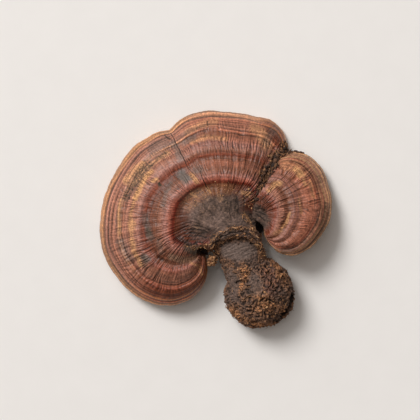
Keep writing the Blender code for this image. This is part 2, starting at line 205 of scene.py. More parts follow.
class Grain:
    """Smooth gradient noise between about -1 and 1, alike on each run."""

    def __init__(self, seed):
        rng = np.random.default_rng(seed)
        self.order = rng.permutation(256)
        slopes = rng.normal(size=(256, 3))
        self.slopes = slopes / np.linalg.norm(slopes, axis=1, keepdims=True)

    def __call__(self, points):
        cell = np.floor(points).astype(int)
        inside = points - cell
        fade = inside ** 3 * (inside * (inside * 6 - 15) + 10)
        total = np.zeros(points.shape[:-1])
        for corner in np.ndindex(2, 2, 2):
            at = (cell + corner) & 255
            pick = self.order[(self.order[at[..., 0]] + at[..., 1]) & 255]
            pick = self.order[(pick + at[..., 2]) & 255]
            drop = ((inside - corner) * self.slopes[pick]).sum(-1)
            share = np.prod(np.where(np.array(corner) == 1, fade, 1 - fade), axis=-1)
            total += drop * share
        return total * 1.7


def layered(grain, points, layers, gain=0.5):
    """Noise with ever finer layers added."""
    total = 0.0
    size = 1.0
    for layer in range(layers):
        total = total + size * grain(points * 2.0 ** layer + 17.3 * layer)
        size *= gain
    return total


def stack(*values):
    """Coordinates from separate values, which may be arrays or numbers."""
    return np.stack(np.broadcast_arrays(*values), axis=-1).astype(float)


def cells(points, seed):
    """Distance to the nearest and next nearest scattered seed, and the nearest one's random share."""
    rng = np.random.default_rng(seed)
    order = rng.permutation(256)
    table = rng.random((256, 4))
    base = np.floor(points).astype(int)
    near = np.full(points.shape[:-1], 9.0)
    next_near = np.full(points.shape[:-1], 9.0)
    share = np.zeros(points.shape[:-1])
    for step in np.ndindex(3, 3, 3):
        cell = base + np.array(step) - 1
        at = cell & 255
        pick = order[(order[(order[at[..., 0]] + at[..., 1]) & 255] + at[..., 2]) & 255]
        seeds = table[pick]
        away = np.linalg.norm(points - cell - seeds[..., :3], axis=-1)
        closer = away < near
        next_near = np.where(closer, near, np.minimum(next_near, away))
        share = np.where(closer, seeds[..., 3], share)
        near = np.minimum(near, away)
    return near, next_near, share


def line_distance(x, y, line):
    """Distance in plan from points to a broken line, and how far along it from 0 to 1."""
    line = np.array(line, float)
    lengths = np.linalg.norm(np.diff(line, axis=0), axis=1)
    whole = lengths.sum()
    nearest = np.full(x.shape, 1e9)
    along = np.zeros(x.shape)
    passed = 0.0
    for start, end, length in zip(line[:-1], line[1:], lengths):
        step = (end - start) / length
        part = np.clip((x - start[0]) * step[0] + (y - start[1]) * step[1], 0.0, length)
        away = np.hypot(x - start[0] - part * step[0], y - start[1] - part * step[1])
        closer = away < nearest
        nearest = np.where(closer, away, nearest)
        along = np.where(closer, (passed + part) / whole, along)
        passed += length
    return nearest, along


# ---------------------------------------------------------------- surfaces on a grid of rows and columns
def dome(place):
    """Height of a plain cap from 1 over the hub to 0 at the margin."""
    return np.maximum(1.0 - place ** DOME_FLATNESS, 0.0) ** DOME_STEEPNESS


def cap_plan(cap, rays, place):
    """x and y out along the rays, smooth through the cap's centre, the hub's edge and the margin."""
    share = cap["hub_edge"]
    centre = np.array(cap["centre"])
    hub = rays[..., 0:2]
    edge = rays[..., 2:4]
    inner = (hub - centre) / share
    outer = (edge - hub) / (1.0 - share)
    middle = mix(inner, outer, share)
    place = place[..., None]
    outside = place > share
    span = np.where(outside, 1.0 - share, share)
    part = np.where(outside, (place - share) / span, place / span)
    start = np.where(outside, hub, centre)
    end = np.where(outside, edge, hub)
    slope_in = np.where(outside, middle, inner)
    slope_out = np.where(outside, outer, middle)
    rise = part * part * (3 - 2 * part)
    bend = span * part * (1 - part) * ((1 - part) * slope_in - part * slope_out)
    return mix(start, end, rise) + bend


def cap_heights(cap, rays, place, upper):
    """Height of the skin or of the pore side, before any fine detail, and the growth place."""
    edge_z, weight, droop, shift = (rays[..., pick] for pick in (4, 5, 6, 7))
    hub_edge = cap["hub_edge"]
    out = np.clip((place - hub_edge) / (1.0 - hub_edge), 0.0, 1.0)
    fade = np.where(shift > 0, 1 - out * out, (1 - out) ** SHIFT_FALL) * ease(*SHIFT_PLACES, place)
    growth = place - shift * fade
    margin_z = edge_z + cap["rim"]
    weight = np.clip(weight, 0.0, 1.0)
    hollow = cap["rings"][0][1] * (1 - ease(0.0, HOLLOW_EDGE, place))
    rings = mix(hollow, smooth_profile(cap["rings"], growth), weight)
    start, full, easing, end = SAG_PLACES
    sag = np.maximum(droop, 0.0) * ease(start, full, place) * (1 - ease(easing, end, place))
    skin = mix(margin_z, cap["top"], dome(place)) + rings - sag
    bend = np.clip((place - LIP) / (1.0 - LIP), 0.0, 1.0)
    near_rim = margin_z - cap["rim"] * np.sqrt(1.0 - bend * bend)
    inside = mix(edge_z, cap["belly"], 1.0 - np.minimum(place / LIP, 1.0) ** BELLY_FLATNESS)
    pores = np.where(place > LIP, near_rim, inside)
    return np.where(upper, skin, pores), growth


def cap_rows(upper, lower):
    """Place, upper side or not, and column stride of every row, from the hub's centre round to the belly.

    Each section is a start, an end, a number of rows, a stride, and a power that crowds rows at its end.
    """
    places = []
    sides = []
    strides = []
    for sections, side in ((upper, True), (lower, False)):
        for start, end, count, stride, power in sections:
            part = 1 - (1 - np.arange(1, count + 1) / count) ** power
            places.append(mix(start, end, part))
            sides.append(np.full(count, side))
            strides.append(np.full(count, stride))
    return np.concatenate(places), np.concatenate(sides), np.concatenate(strides)


def cap_columns(cap, count, seam, bare_share):
    """Ray numbers of the columns, crowded where the growth rings show, and each one's arc in millimetres."""
    fine = np.linspace(seam, seam + len(cap["rays"]), 4001)
    rays = smooth_rows(cap["rays"], fine)
    ring = cap_plan(cap, rays, np.full(fine.shape, ARC_PLACE))
    steps = np.linalg.norm(np.diff(ring, axis=0), axis=1)
    arc = np.concatenate([[0.0], np.cumsum(steps)])
    crowding = np.concatenate([[0.0], np.cumsum(steps * mix(bare_share, 1.0, ease(0.0, 0.5, rays[:-1, 5])))])
    columns = np.interp(np.arange(count) * crowding[-1] / count, crowding, fine)
    return columns, np.interp(columns, fine, arc)


def grid_normals(points):
    across = np.roll(points, -1, axis=1) - np.roll(points, 1, axis=1)
    down = np.gradient(points, axis=0)
    normals = np.cross(down, across)
    return normals / np.maximum(np.linalg.norm(normals, axis=-1, keepdims=True), 1e-12)


def blurred(values, reach):
    """Box blur of a grid whose columns wrap round."""
    total = sum(np.roll(values, step, axis=1) for step in range(-reach, reach + 1))
    padded = np.pad(total / (2 * reach + 1), ((reach, reach), (0, 0)), mode="edge")
    rows = len(values)
    total = sum(padded[step:step + rows] for step in range(2 * reach + 1))
    return total / (2 * reach + 1)


def new_object(name, points, corners, sizes, places):
    """Object from points in millimetres, the corners and sizes of its faces, and its bake-map places."""
    mesh = bpy.data.meshes.new(name)
    mesh.vertices.add(len(points))
    mesh.vertices.foreach_set("co", (points * MM).ravel())
    mesh.loops.add(len(corners))
    mesh.loops.foreach_set("vertex_index", corners)
    mesh.polygons.add(len(sizes))
    mesh.polygons.foreach_set("loop_start", np.concatenate([[0], np.cumsum(sizes)[:-1]]))
    mesh.update(calc_edges=True)
    bake_map = mesh.uv_layers.new(name="OFBake")
    bake_map.data.foreach_set("uv", places.astype(np.float32).ravel())
    obj = bpy.data.objects.new(name, mesh)
    bpy.context.scene.collection.objects.link(obj)
    return obj


def add_field(mesh, title, values):
    """Store a number or a vector for each vertex, under the name that the materials read."""
    is_vector = values.ndim == 2 and values.shape[1] == 3
    attribute = mesh.attributes.new(title, "FLOAT_VECTOR" if is_vector else "FLOAT", "POINT")
    attribute.data.foreach_set("vector" if is_vector else "value", values.astype(np.float32).ravel())


def closed_grid(name, points, strides, ends, fields, charts, switch):
    """Mesh of a grid whose columns wrap round, closed by a point at each end.

    strides says which columns each row keeps.  fields are named grids, stored as attributes.
    charts are the places on the bake map for faces before and after the switch row.
    """
    rows, columns = points.shape[:2]
    width = columns + 1
    numbers = np.zeros((rows, width), int)
    kept = []
    for row, stride in enumerate(strides):
        used = np.arange(0, columns, stride)
        numbers[row, used] = 1 + len(kept) + np.arange(len(used))
        numbers[row, columns] = numbers[row, 0]
        kept.extend(row * columns + used)
    kept = np.array(kept)
    last = len(kept) + 1
    corners = []
    sizes = []
    places = []
    vertex_of = np.concatenate([numbers.ravel(), [0, last]])
    pole_in, pole_out = rows * width, rows * width + 1

    def add(faces, row):
        spots = np.stack(np.broadcast_arrays(*faces), axis=1)
        corners.append(vertex_of[spots].ravel())
        sizes.append(np.full(len(spots), spots.shape[1]))
        places.append((charts[0] if row < switch else charts[1])[spots].reshape(-1, 2))

    charts = [np.concatenate([chart.reshape(-1, 2), ends_of]) for chart, ends_of in charts]
    edge = np.arange(0, columns, strides[0])
    add((pole_in, edge, edge + strides[0]), 0)
    for row in range(rows - 1):
        inner, outer = strides[row], strides[row + 1]
        wide = max(inner, outer)
        here = row * width + np.arange(0, columns, wide)
        beyond = here + width
        faces = [here, beyond, beyond + wide, here + wide]
        if inner < outer:
            faces.append(here + wide // 2)
        elif inner > outer:
            faces.insert(2, beyond + wide // 2)
        add(faces, row + 1)
    edge = (rows - 1) * width + np.arange(0, columns, strides[-1])
    add((pole_out, edge + strides[-1], edge), rows)

    shape = np.concatenate([ends[0][None], points.reshape(-1, 3)[kept], ends[1][None]])
    corners, sizes, places = (np.concatenate(part) for part in (corners, sizes, places))
    obj = new_object(name, shape, corners, sizes, places)
    for title, grid in fields.items():
        flat = grid.reshape(rows * columns, -1)
        first = grid[:1].reshape(columns, -1).mean(0)[None]
        final = grid[-1:].reshape(columns, -1).mean(0)[None]
        add_field(obj.data, title, np.concatenate([first, flat[kept], final]))
    obj.data.shade_smooth()
    return obj


def ragged_patch(x, y, line, width, wobble, grade=0.35):
    """1 within the width of a broken line and 0 beyond it, with an uneven edge."""
    away, _ = line_distance(x, y, line)
    return 1 - ease(1 - grade, 1 + grade, away / width + wobble)


def groove(x, y, line, width, wander):
    """1 along the bottom of a narrow crack that wanders, tapered at both ends."""
    away, along = line_distance(x + wander, y - wander, line)
    return np.exp(-(away / width) ** 2) * ease(0.0, 0.06, along) * (1 - ease(0.9, 1.0, along))


def planar_chart(points, centre, low, high, spread):
    """Places on the bake map of a grid seen from above, pushed out by a spread round the rim."""
    flat = points[..., :2]
    reach = np.array(centre) + (flat - np.array(centre)) * (1 + spread[:, None, None])
    bounds_low = reach.reshape(-1, 2).min(0)
    bounds_high = reach.reshape(-1, 2).max(0)
    part = (reach - bounds_low) / (bounds_high - bounds_low)
    chart = np.array(low) + part * (np.array(high) - np.array(low))
    return np.concatenate([chart, chart[:, :1]], axis=1)


# ---------------------------------------------------------------- the two caps
ARC_PLACE = 0.75                  # the ring along which arc lengths are measured
RING_SCALE = 70.0                 # millimetres of growth from the centre to the margin
WIDE_WAVE = 2.9                   # millimetres from wrinkle to wrinkle near the hub
FINE_WAVE = 1.85                  # and near the margin
BARE_SHARE = 0.35                 # crowding of the columns where no growth rings show
HUB_SPRING = (12.0, -10.0)        # where the streaks of the hub flow from

MAIN_COLUMNS = 880
MAIN_SEAM = 29.0
MAIN_UPPER = [(0.015, 0.09, 5, 8, 1), (0.09, 0.34, 30, 4, 1), (0.34, 0.36, 2, 2, 1),
              (0.36, 0.74, 42, 1, 1), (0.74, 0.985, 38, 1, 1), (0.985, 1.0, 8, 1, 2)]
MAIN_LOWER = [(1.0, 0.985, 3, 1, 0.5), (0.985, 0.93, 6, 2, 1), (0.93, 0.1, 24, 4, 1), (0.1, 0.02, 3, 8, 1)]
SIDE_COLUMNS = 640
SIDE_SEAM = 16.0
SIDE_UPPER = [(0.02, 0.1, 4, 4, 1), (0.1, 0.22, 8, 2, 1), (0.22, 0.98, 68, 1, 1), (0.98, 1.0, 7, 1, 2)]
SIDE_LOWER = [(1.0, 0.985, 3, 1, 0.5), (0.985, 0.93, 5, 2, 1), (0.93, 0.1, 18, 4, 1), (0.1, 0.02, 3, 4, 1)]

# Two ragged rolls of tissue: on the hood, and along its edge where the neck comes out.
COLLAR_OUTER = [(-3.2, -17.5), (-1.2, -13.2), (3.2, -8.8), (9.4, -6.2), (15.8, -5.6), (21.0, -7.0),
                (25.6, -11.5), (28.9, -18.0), (31.5, -24.5)]
COLLAR_INNER = [(-1.6, -21.6), (1.2, -16.6), (5.8, -13.4), (10.6, -11.9), (16.4, -10.8), (22.2, -12.6),
                (26.6, -17.2), (29.5, -22.9)]
COLLAR_GROOVE = [(-2.2, -19.5), (0.2, -14.8), (4.6, -11.0), (10.0, -9.0), (16.1, -8.2), (21.6, -9.8),
                 (26.1, -14.4), (29.2, -20.5)]
HOOD_LEG = [(18.0, 2.6), (20.0, -1.2), (22.6, -5.0), (25.2, -8.6)]
# Broad swellings and hollows of the hub: points in plan, half width, height.
MAIN_SWELLS = [([(8.0, -7.0), (0.0, 2.0), (-7.0, 8.0)], 8.0, 1.8), ([(12.0, 17.0), (17.0, 11.0)], 4.5, -1.4),
               ([(-19.0, -8.0), (-11.0, -10.0)], 4.0, -1.6)]
MAIN_RIDGES = [(COLLAR_OUTER, 0.9, 1.3), (COLLAR_INNER, 0.9, 1.0), (HOOD_LEG, 0.6, 0.6)]
# Holes: points in plan, half width, depth. Their bottoms are painted near-black, as painted shade.
MAIN_HOLES = [([(-9.8, -20.4), (-4.2, -22.2)], 2.1, 6.0), ([(-17.5, -16.2), (-11.5, -16.4)], 0.9, 2.2),
              ([(28.4, -4.6), (30.8, -8.6)], 2.6, 4.5)]

# Cracks in the skin: points in plan, half width, depth, all in millimetres. Their bottoms are painted
# near-black, as painted shade.
MAIN_CRACKS = [
    ([(-29.9, 56.4), (-27.4, 52.5), (-24.2, 46.0), (-20.9, 39.6)], 0.27, 0.5),
    ([(-22.5, 42.5), (-20.0, 38.0), (-18.2, 33.5)], 0.28, 0.6),
    ([(-18.6, 34.0), (-15.5, 30.0), (-12.0, 26.5), (-9.5, 22.5)], 0.26, 0.25),
    ([(-9.6, 31.0), (-8.2, 25.5), (-6.1, 20.9), (-4.2, 17.7)], 0.3, 0.5),
    ([(-5.2, 63.0), (-4.9, 59.5), (-5.4, 56.5)], 0.4, 0.35),
    ([(-33.5, 54.5), (-30.8, 51.8), (-28.6, 50.4)], 0.42, 0.4),
    ([(-28.6, 43.6), (-33.5, 41.2), (-38.5, 36.3), (-43.0, 31.6)], 0.36, 0.2),
    ([(-19.6, -5.0), (-13.2, -4.2), (-7.0, -5.4), (-2.3, -8.3)], 0.32, 0.45),
    ([(-20.4, -7.4), (-13.6, -6.6), (-6.6, -7.6), (-3.0, -10.0)], 0.32, 0.6),
    ([(-20.8, -9.6), (-14.0, -8.8), (-7.4, -9.4)], 0.34, 0.6),
    ([(-21.6, -12.2), (-15.4, -10.8), (-9.5, -11.0), (-4.4, -12.6)], 0.36, 0.8),
    ([(-20.4, -15.4), (-16.0, -13.2), (-9.0, -12.8)], 0.36, 0.6),
    ([(-19.4, -17.6), (-15.6, -15.6), (-10.0, -14.6), (-5.0, -15.6)], 0.45, 0.9),
    ([(-19.6, -2.6), (-14.2, -2.2), (-9.0, -3.4)], 0.28, 0.35),
    ([(8.4, 8.0), (9.4, 2.0), (10.4, -1.6)], 0.32, 0.35),
    ([(13.5, 14.5), (14.6, 8.0), (14.2, 3.0)], 0.4, 0.35),
    ([(17.5, 15.5), (18.2, 9.0), (17.6, 4.5)], 0.4, 0.4),
    (COLLAR_GROOVE, 0.5, 0.9),
]
SIDE_CRACKS = [
    ([(24.5, 7.2), (28.5, 6.4), (33.0, 5.2)], 0.4, 0.3),
    ([(24.8, 5.0), (28.6, 3.8), (32.6, 1.8)], 0.45, 0.45),
    ([(25.6, 3.0), (29.0, 1.0), (31.8, -1.8)], 0.45, 0.45),
    ([(27.5, 10.5), (32.5, 15.0), (37.0, 20.5)], 0.3, 0.4),
    ([(27.0, 7.4), (33.0, 10.6), (39.0, 13.4)], 0.3, 0.35),
]


def cap_surface(cap, upper_rows, lower_rows, columns, seam, seed, cracks, swells, ridges, holes, notch):
    """Grid of one cap with its fine relief, and the fields that its colours follow."""
    places, is_upper, strides = cap_rows(upper_rows, lower_rows)
    ray_numbers, arc = cap_columns(cap, columns, seam, BARE_SHARE)
    rays = smooth_rows(cap["rays"], ray_numbers)
    shape = (len(places), columns)
    place = np.broadcast_to(places[:, None], shape)
    upper = np.broadcast_to(is_upper[:, None], shape)
    all_rays = np.broadcast_to(rays[None], shape + (rays.shape[-1],))
    arc = np.broadcast_to(arc[None], shape)
    plan = cap_plan(cap, all_rays, place)
    height, growth = cap_heights(cap, all_rays, place, upper)
    points = np.concatenate([plan, height[..., None]], axis=-1)
    x, y = plan[..., 0], plan[..., 1]

    coarse, fine = Grain(seed), Grain(seed + 1)
    weight = np.clip(all_rays[..., 5], 0.0, 1.0)
    shift = all_rays[..., 7]
    strength = np.maximum(all_rays[..., 8], 0.0)
    wander = coarse(stack(arc / 14.0, growth * RING_SCALE / 9.0, 3.0))
    ring = growth + 0.006 * wander
    distance = ring * RING_SCALE
    rim_fade = np.where(upper, 1.0, 1 - ease(0.0, 0.05, 1 - place))
    fray = coarse(stack(arc / 2.2, 0.0, 81.0)) + 0.7 * coarse(stack(arc / 6.0, place * 9.0, 83.0))
    hub_border = cap["hub_edge"] - 0.068 + 0.4 * np.maximum(shift, 0.0) + 0.02 * wander + 0.028 * fray
    skin = rim_fade * ease(hub_border - 0.10, hub_border + 0.02, place)
    open_fan = skin * ease(0.0, 0.7, weight)

    # Wrinkles that run out from the hub, finer near the margin, and broader folds where the cap bends.
    phase = 9.0 * coarse(stack(arc / 7.0, distance / 12.0, 8.0))
    phase = phase + 3.0 * coarse(stack(arc / 2.6, distance / 7.0, 9.0))
    wide_wave = np.sin(math.tau * arc / WIDE_WAVE + phase)
    fine_wave = np.sin(math.tau * arc / FINE_WAVE + 1.2 * phase)
    inner_part = 1 - ease(0.50, 0.62, place)
    ripple = mix(fine_wave, wide_wave, inner_part)
    patchy = 0.45 + 1.1 * coarse(stack(arc / 12.0, distance / 5.0, 21.0))
    patchy = patchy + 0.5 * coarse(stack(arc / 4.0, distance / 4.0, 22.0))
    folds = coarse(stack(arc / 3.2, distance / 24.0, 5.0))
    folds = folds + 0.6 * coarse(stack(arc / 1.6, distance / 15.0, 6.0))
    zones = bump(0.46, 0.08, ring) + bump(0.70, 0.09, ring) + 0.4 * bump(0.87, 0.09, ring)
    radial = 0.27 * ripple * np.clip(patchy, 0.0, 1.4) * zones * np.clip(strength, 0.4, 1.5)
    radial = radial + 0.16 * folds * (1 - ease(0.8, 0.95, place))
    radial = radial + 0.85 * folds * np.clip(strength - 0.85, 0.0, 1.4) * (1 - ease(0.78, 0.95, place))

    # Growth lines that run along the margin.
    lines = coarse(stack(distance / 1.15 + 0.5 * wander, arc / 40.0, 12.0))
    lines = lines + 0.7 * coarse(stack(distance / 0.62, arc / 26.0, 14.0))
    grooved = mix(0.22, 1.0, ease(0.74, 0.84, ring)) + 0.7 * bump(0.585, 0.045, ring)
    grooved = grooved + 0.6 * bump(0.79, 0.03, ring)
    concentric = 0.21 * lines * grooved
    margin_line = -0.22 * bump(0.955, 0.010, ring) - 0.16 * bump(0.915, 0.008, ring)

    # The hub: granular, with streaks that flow out from the neck.
    lumps = layered(fine, points / 7.0, 2)
    pits = layered(fine, points / 2.0 + 40.0, 2, 0.7)
    from_neck = np.hypot(x - HUB_SPRING[0], y - HUB_SPRING[1])
    bearing = np.arctan2(y - HUB_SPRING[1], x - HUB_SPRING[0])
    heading_x, heading_y = np.cos(bearing), np.sin(bearing)
    streaks = 0.6 * coarse(stack(12.0 * heading_x, 12.0 * heading_y, from_neck / 16.0))
    streaks = streaks + 0.9 * coarse(stack(27.0 * heading_x, 27.0 * heading_y, from_neck / 9.0 + 7.0))
    hub = np.where(upper, 1 - ease(hub_border - 0.11, hub_border + 0.02, place), 0.0)
    hub = np.maximum(hub, np.where(upper, 1 - ease(0.0, 0.35, weight), 0.0) * ease(1.0, 0.4, strength))
    edge_part = ease(0.55, 1.0, place / cap["hub_edge"]) * ease(4.0, -10.0, x)
    streaks = streaks * mix(0.6, 1.0, edge_part)
    swell = coarse(stack(x / 9.0, y / 9.0, 50.0)) + 0.5 * coarse(stack(x / 4.0, y / 4.0, 51.0))
    grains = (0.24 * pits + 0.26 * streaks + 0.55 * swell) * hub
    relief = open_fan * (radial + concentric + margin_line) + (1 - open_fan) * skin * (radial * 0.8)
    relief = relief + grains
    rough_skin = 0.05 * layered(fine, points / 1.3 + 9.0, 2) * (1 - hub)
    relief = relief + np.where(upper, rough_skin, 0.25 * rough_skin)

    skin_side = np.where(upper, 1.0, 0.0)
    # crack: where near-black is painted into the cracks and holes, as painted shade.
    crack = np.zeros(shape)
    crack_wander = 0.5 * fine(stack(x / 2.5, y / 2.5, 1.0)) + 0.3 * fine(stack(x / 1.0, y / 1.0, 2.0))
    for line, half_width, depth in cracks:
        cut = groove(x, y, line, half_width, crack_wander) * skin_side
        relief = relief - depth * cut
        shoulder = groove(x, y, line, half_width * 2.4, crack_wander)
        relief = relief + 0.35 * depth * shoulder * skin_side
        crack = np.maximum(crack, cut * min(1.0, depth * 2))
    for line, half_width, height in swells:
        away, _ = line_distance(x, y, line)
        points[..., 2] += height * bump(0.0, half_width, away) * skin_side
    shaggy = 0.8 * fine(stack(x / 2.2, y / 2.2, 70.0)) + 0.5 * fine(stack(x / 0.9, y / 0.9, 71.0))
    for line, half_width, height in ridges:
        away, _ = line_distance(x, y, line)
        side = bump(0.0, half_width, away + 0.5 * shaggy) * skin_side
        relief = relief + height * side * (0.75 + 0.7 * shaggy)
    for spot, half_width, depth in holes:
        away, _ = line_distance(x + 0.5 * shaggy, y + 0.5 * shaggy, spot)
        cut = (1 - ease(0.6, 1.25, away / half_width)) * skin_side
        relief = relief - depth * cut
        crack = np.maximum(crack, 0.9 * cut)
    if notch:
        away = np.hypot(x - notch[0][0], y - notch[0][1])
        pull = notch[1] * np.exp(-(away / notch[2]) ** 2) * ease(0.8, 1.0, place)
        outward = all_rays[..., 2:4] - np.array(cap["centre"])
        outward = outward / np.linalg.norm(outward, axis=-1, keepdims=True)
        points[..., :2] -= outward * pull[..., None]
    edge_wave = 0.35 * coarse(stack(arc / 6.0, 0.0, 30.0)) + 0.18 * coarse(stack(arc / 2.0, 0.0, 31.0))
    slab = 0.35 * lumps * np.where(upper, ease(0.05, 0.2, 1 - place), 1.0)
    normals = grid_normals(points)
    out_of_rim = edge_wave * ease(0.93, 1.0, place)
    points = points + normals * (relief + slab + out_of_rim)[..., None]
    points[..., 2] = np.maximum(points[..., 2], 0.0)

    # crest: how far the relief stands above or sinks below its surroundings; the skin material paints shade
    # into the hollows and highlight onto the crests with it.
    fresh = relief - blurred(relief, 3)
    wide = relief - blurred(relief, 9)
    crest = np.clip(fresh / 0.16, -1.0, 1.0) * 0.6 + np.clip(wide / 0.4, -1.0, 1.0) * 0.4
    fields = {
        "ring": ring, "hub": hub, "crest": crest, "crack": crack,
        "streak": np.clip(0.5 + 0.5 * streaks, 0.0, 1.0), "line": np.clip(0.5 + 0.45 * lines, 0.0, 1.0),
        "under": np.where(upper, 0.0, ease(0.0, 0.035, 1 - place)),
        "flow": stack(arc, distance, 0.0),
    }
    return {"points": points, "strides": strides, "fields": fields, "x": x, "y": y, "upper": upper,
            "is_upper": is_upper, "places": places}


def finish_cap(name, cap, grid):
    """Mesh of a cap's grid with its two bake charts."""
    points, places, is_upper = grid["points"], grid["places"], grid["is_upper"]
    upper_spread = 0.04 * ease(0.97, 1.0, places)
    lower_spread = 0.04 + 0.10 * ease(0.0, 0.075, 1 - places)
    round_rim = np.where(is_upper, upper_spread, lower_spread)
    top_chart = planar_chart(points, cap["centre"], (0.01, 0.01), (0.65, 0.99), round_rim)
    bottom_chart = planar_chart(points, cap["centre"], (0.67, 0.01), (0.99, 0.99), 0 * round_rim)
    switch = int(np.sum(is_upper) + np.sum((~is_upper) & (places > 0.935)))
    poles = [np.array([chart[0, :-1].mean(0), chart[-1, :-1].mean(0)]) for chart in (top_chart, bottom_chart)]
    ends = (points[0].mean(0), points[-1].mean(0))
    charts = [(top_chart, poles[0]), (bottom_chart, poles[1])]
    return closed_grid(name, points, grid["strides"], ends, grid["fields"], charts, switch)


# ---------------------------------------------------------------- stains, painted shade and painted sheen of the two skins
# Each stain or patch: points in plan, half width, strength.
MAIN_OCHRE = [
    ([(-41.0, 29.5), (-45.0, 26.0), (-48.0, 19.5), (-51.0, 13.0)], 1.8, 1.0),
    ([(-51.0, 13.0), (-53.5, 5.0), (-54.0, -3.0), (-53.0, -11.0)], 1.1, 0.55),
    ([(-53.0, -3.0), (-53.4, -6.0)], 2.2, 0.8),
    ([(-60.8, 12.0), (-61.8, 3.0), (-61.0, -9.0)], 1.0, 0.7),
    ([(-53.0, -14.0), (-51.5, -21.0), (-47.5, -29.0)], 1.6, 0.75),
    ([(-39.5, 24.0), (-37.2, 24.6)], 1.3, 0.9),
    ([(-57.0, 24.0), (-52.0, 30.0), (-47.0, 34.5)], 2.2, 0.7),
    ([(-52.0, 22.0), (-45.5, 30.5), (-38.0, 36.5), (-30.0, 42.0)], 1.5, 0.55),
    ([(-15.0, 48.5), (-6.0, 51.8), (6.5, 50.6)], 1.5, 0.45),
    ([(-18.0, 55.0), (-10.0, 60.0), (0.0, 62.5)], 2.2, 0.35),
    ([(25.0, 58.0), (31.0, 52.0), (32.5, 47.0)], 3.4, 0.45),
    ([(-15.0, 27.5), (-12.0, 23.0)], 1.6, 0.75),
    ([(-5.5, 19.4), (-3.2, 16.5)], 0.8, 0.8),
    ([(-17.5, 8.0), (-13.0, 14.0), (-6.0, 17.0), (2.0, 18.8), (8.0, 19.4)], 3.6, 0.17),
    ([(1.5, 18.5), (3.0, 12.5)], 1.6, 0.2),
    ([(16.5, 17.4), (19.0, 16.6), (22.0, 16.4)], 0.5, 0.6),
    ([(-28.0, -24.0), (-21.0, -26.3), (-13.0, -25.2)], 1.8, 0.3),
    ([(17.0, 16.2), (21.0, 14.6)], 0.9, 0.5),
    ([(17.7, 3.5), (20.9, -0.3), (23.5, -4.8), (25.4, -7.4)], 0.55, 0.8),
    ([(-14.5, 15.5), (-12.0, 13.6)], 1.3, 0.5),
    ([(-16.0, -27.6), (-10.0, -30.0), (-8.6, -35.5)], 0.9, 0.5),
]
# Dark sooty patches of the large cap; the last one, in the gap between the lower lobe and the neck, is
# painted shade.
MAIN_SOOT_AND_PAINTED_SHADE = [
    ([(-43.0, 34.0), (-48.5, 28.5), (-50.0, 23.5), (-55.0, 17.0)], 2.9, 0.75),
    ([(-51.5, 22.0), (-54.5, 18.5), (-56.5, 13.0)], 2.4, 0.8),
    ([(-35.7, 22.2), (-35.2, 21.2)], 1.2, 1.0),
    ([(-42.8, -7.0), (-42.5, -9.5)], 1.7, 0.75),
    ([(-31.5, 42.0), (-37.5, 38.0)], 1.1, 0.6),
    ([(-30.8, 51.9), (-30.0, 51.5)], 1.2, 0.5),
    ([(-45.5, -24.8), (-45.0, -29.0)], 1.8, 0.55),
    ([(-22.0, 14.0), (-17.0, 15.5), (-12.0, 17.5)], 2.6, 0.4),
    ([(-20.5, 12.0), (-22.5, 4.0), (-21.0, -4.0)], 2.2, 0.12),
    ([(-17.5, -17.2), (-14.5, -19.6), (-9.5, -20.2)], 2.6, 0.95),
]
MAIN_ASH = [
    ([(-21.0, 27.5), (-18.5, 25.5)], 3.2, 0.95),
    ([(-12.5, 30.5), (-10.0, 31.5)], 2.5, 0.55),
    ([(-44.5, 2.0), (-43.5, -4.0), (-41.0, -12.0)], 2.2, 0.6),
    ([(-43.0, -26.0), (-45.5, -24.0)], 2.2, 0.8),
    ([(-60.0, -15.0), (-57.5, -20.0), (-55.0, -25.0)], 3.0, 0.55),
    ([(-28.0, -24.0), (-21.0, -26.3), (-13.0, -25.2)], 2.2, 0.45),
    ([(-40.0, 44.0), (-33.0, 48.5)], 3.6, 0.5),
    ([(-27.0, 48.0), (-24.5, 44.0), (-22.0, 38.0)], 2.0, 0.6),
    ([(-20.0, 48.5), (-14.0, 51.0)], 1.8, 0.5),
    ([(-36.0, -14.0), (-34.0, -21.0)], 1.8, 0.4),
    ([(33.0, 50.0), (38.0, 58.0)], 3.0, 0.35),
    ([(-28.0, 22.5), (-31.5, 16.0), (-33.0, 8.0)], 1.4, 0.5),
]
# Painted shade on the large cap: in the cleft beside the side cap, in the gap between the lower lobe and the
# neck, along the hood and in hollows round the hub.
MAIN_PAINTED_SHADE = [
    ([(11.0, 15.0), (14.5, 7.0), (18.0, 11.5)], 6.2, 0.5),
    ([(22.0, 2.5), (23.5, -3.0)], 2.0, 0.7),
    ([(-20.5, -4.5), (-21.0, -9.5), (-14.0, -8.5)], 2.4, 0.6),
    ([(-14.0, -12.5), (-6.5, -12.0)], 3.0, 0.55),
    ([(-20.5, 10.5), (-17.5, 14.0), (-12.0, 16.0)], 2.2, 0.55),
    ([(-21.5, 6.0), (-21.8, 0.0)], 1.5, 0.4),
    ([(-5.0, -8.0), (0.0, -11.0)], 1.6, 0.5),
    ([(-23.5, -13.0), (-18.5, -18.0), (-12.0, -20.5)], 3.0, 0.9),
    ([(27.0, 14.0), (34.0, 26.0), (41.0, 37.0)], 3.6, 0.45),
    ([(35.5, 33.0), (39.0, 38.5), (41.5, 43.0)], 3.0, 0.9),
    ([(29.5, 24.0), (33.0, 31.0), (36.5, 38.5)], 3.2, 0.6),
    ([(24.0, 34.0), (28.5, 42.0), (31.5, 48.0)], 3.0, 0.5),
    ([(-18.0, -16.0), (-15.0, -18.0), (-10.0, -19.5)], 3.2, 1.0),
]
# Painted light on the hub: a lilac sheen and the lit side of its low mound, shown along the streaks.
HUB_PAINTED_SHEEN = [
    ([(-15.0, 10.0), (-13.5, 3.5), (-16.0, -1.0)], 2.6, 0.9),
    ([(-3.0, -2.0), (3.0, 1.0), (3.5, -4.5)], 4.2, 0.7),
    ([(11.0, -1.0), (16.0, -2.0)], 2.4, 0.45),
    ([(-8.0, 9.0), (-2.0, 12.0)], 2.4, 0.4),
]
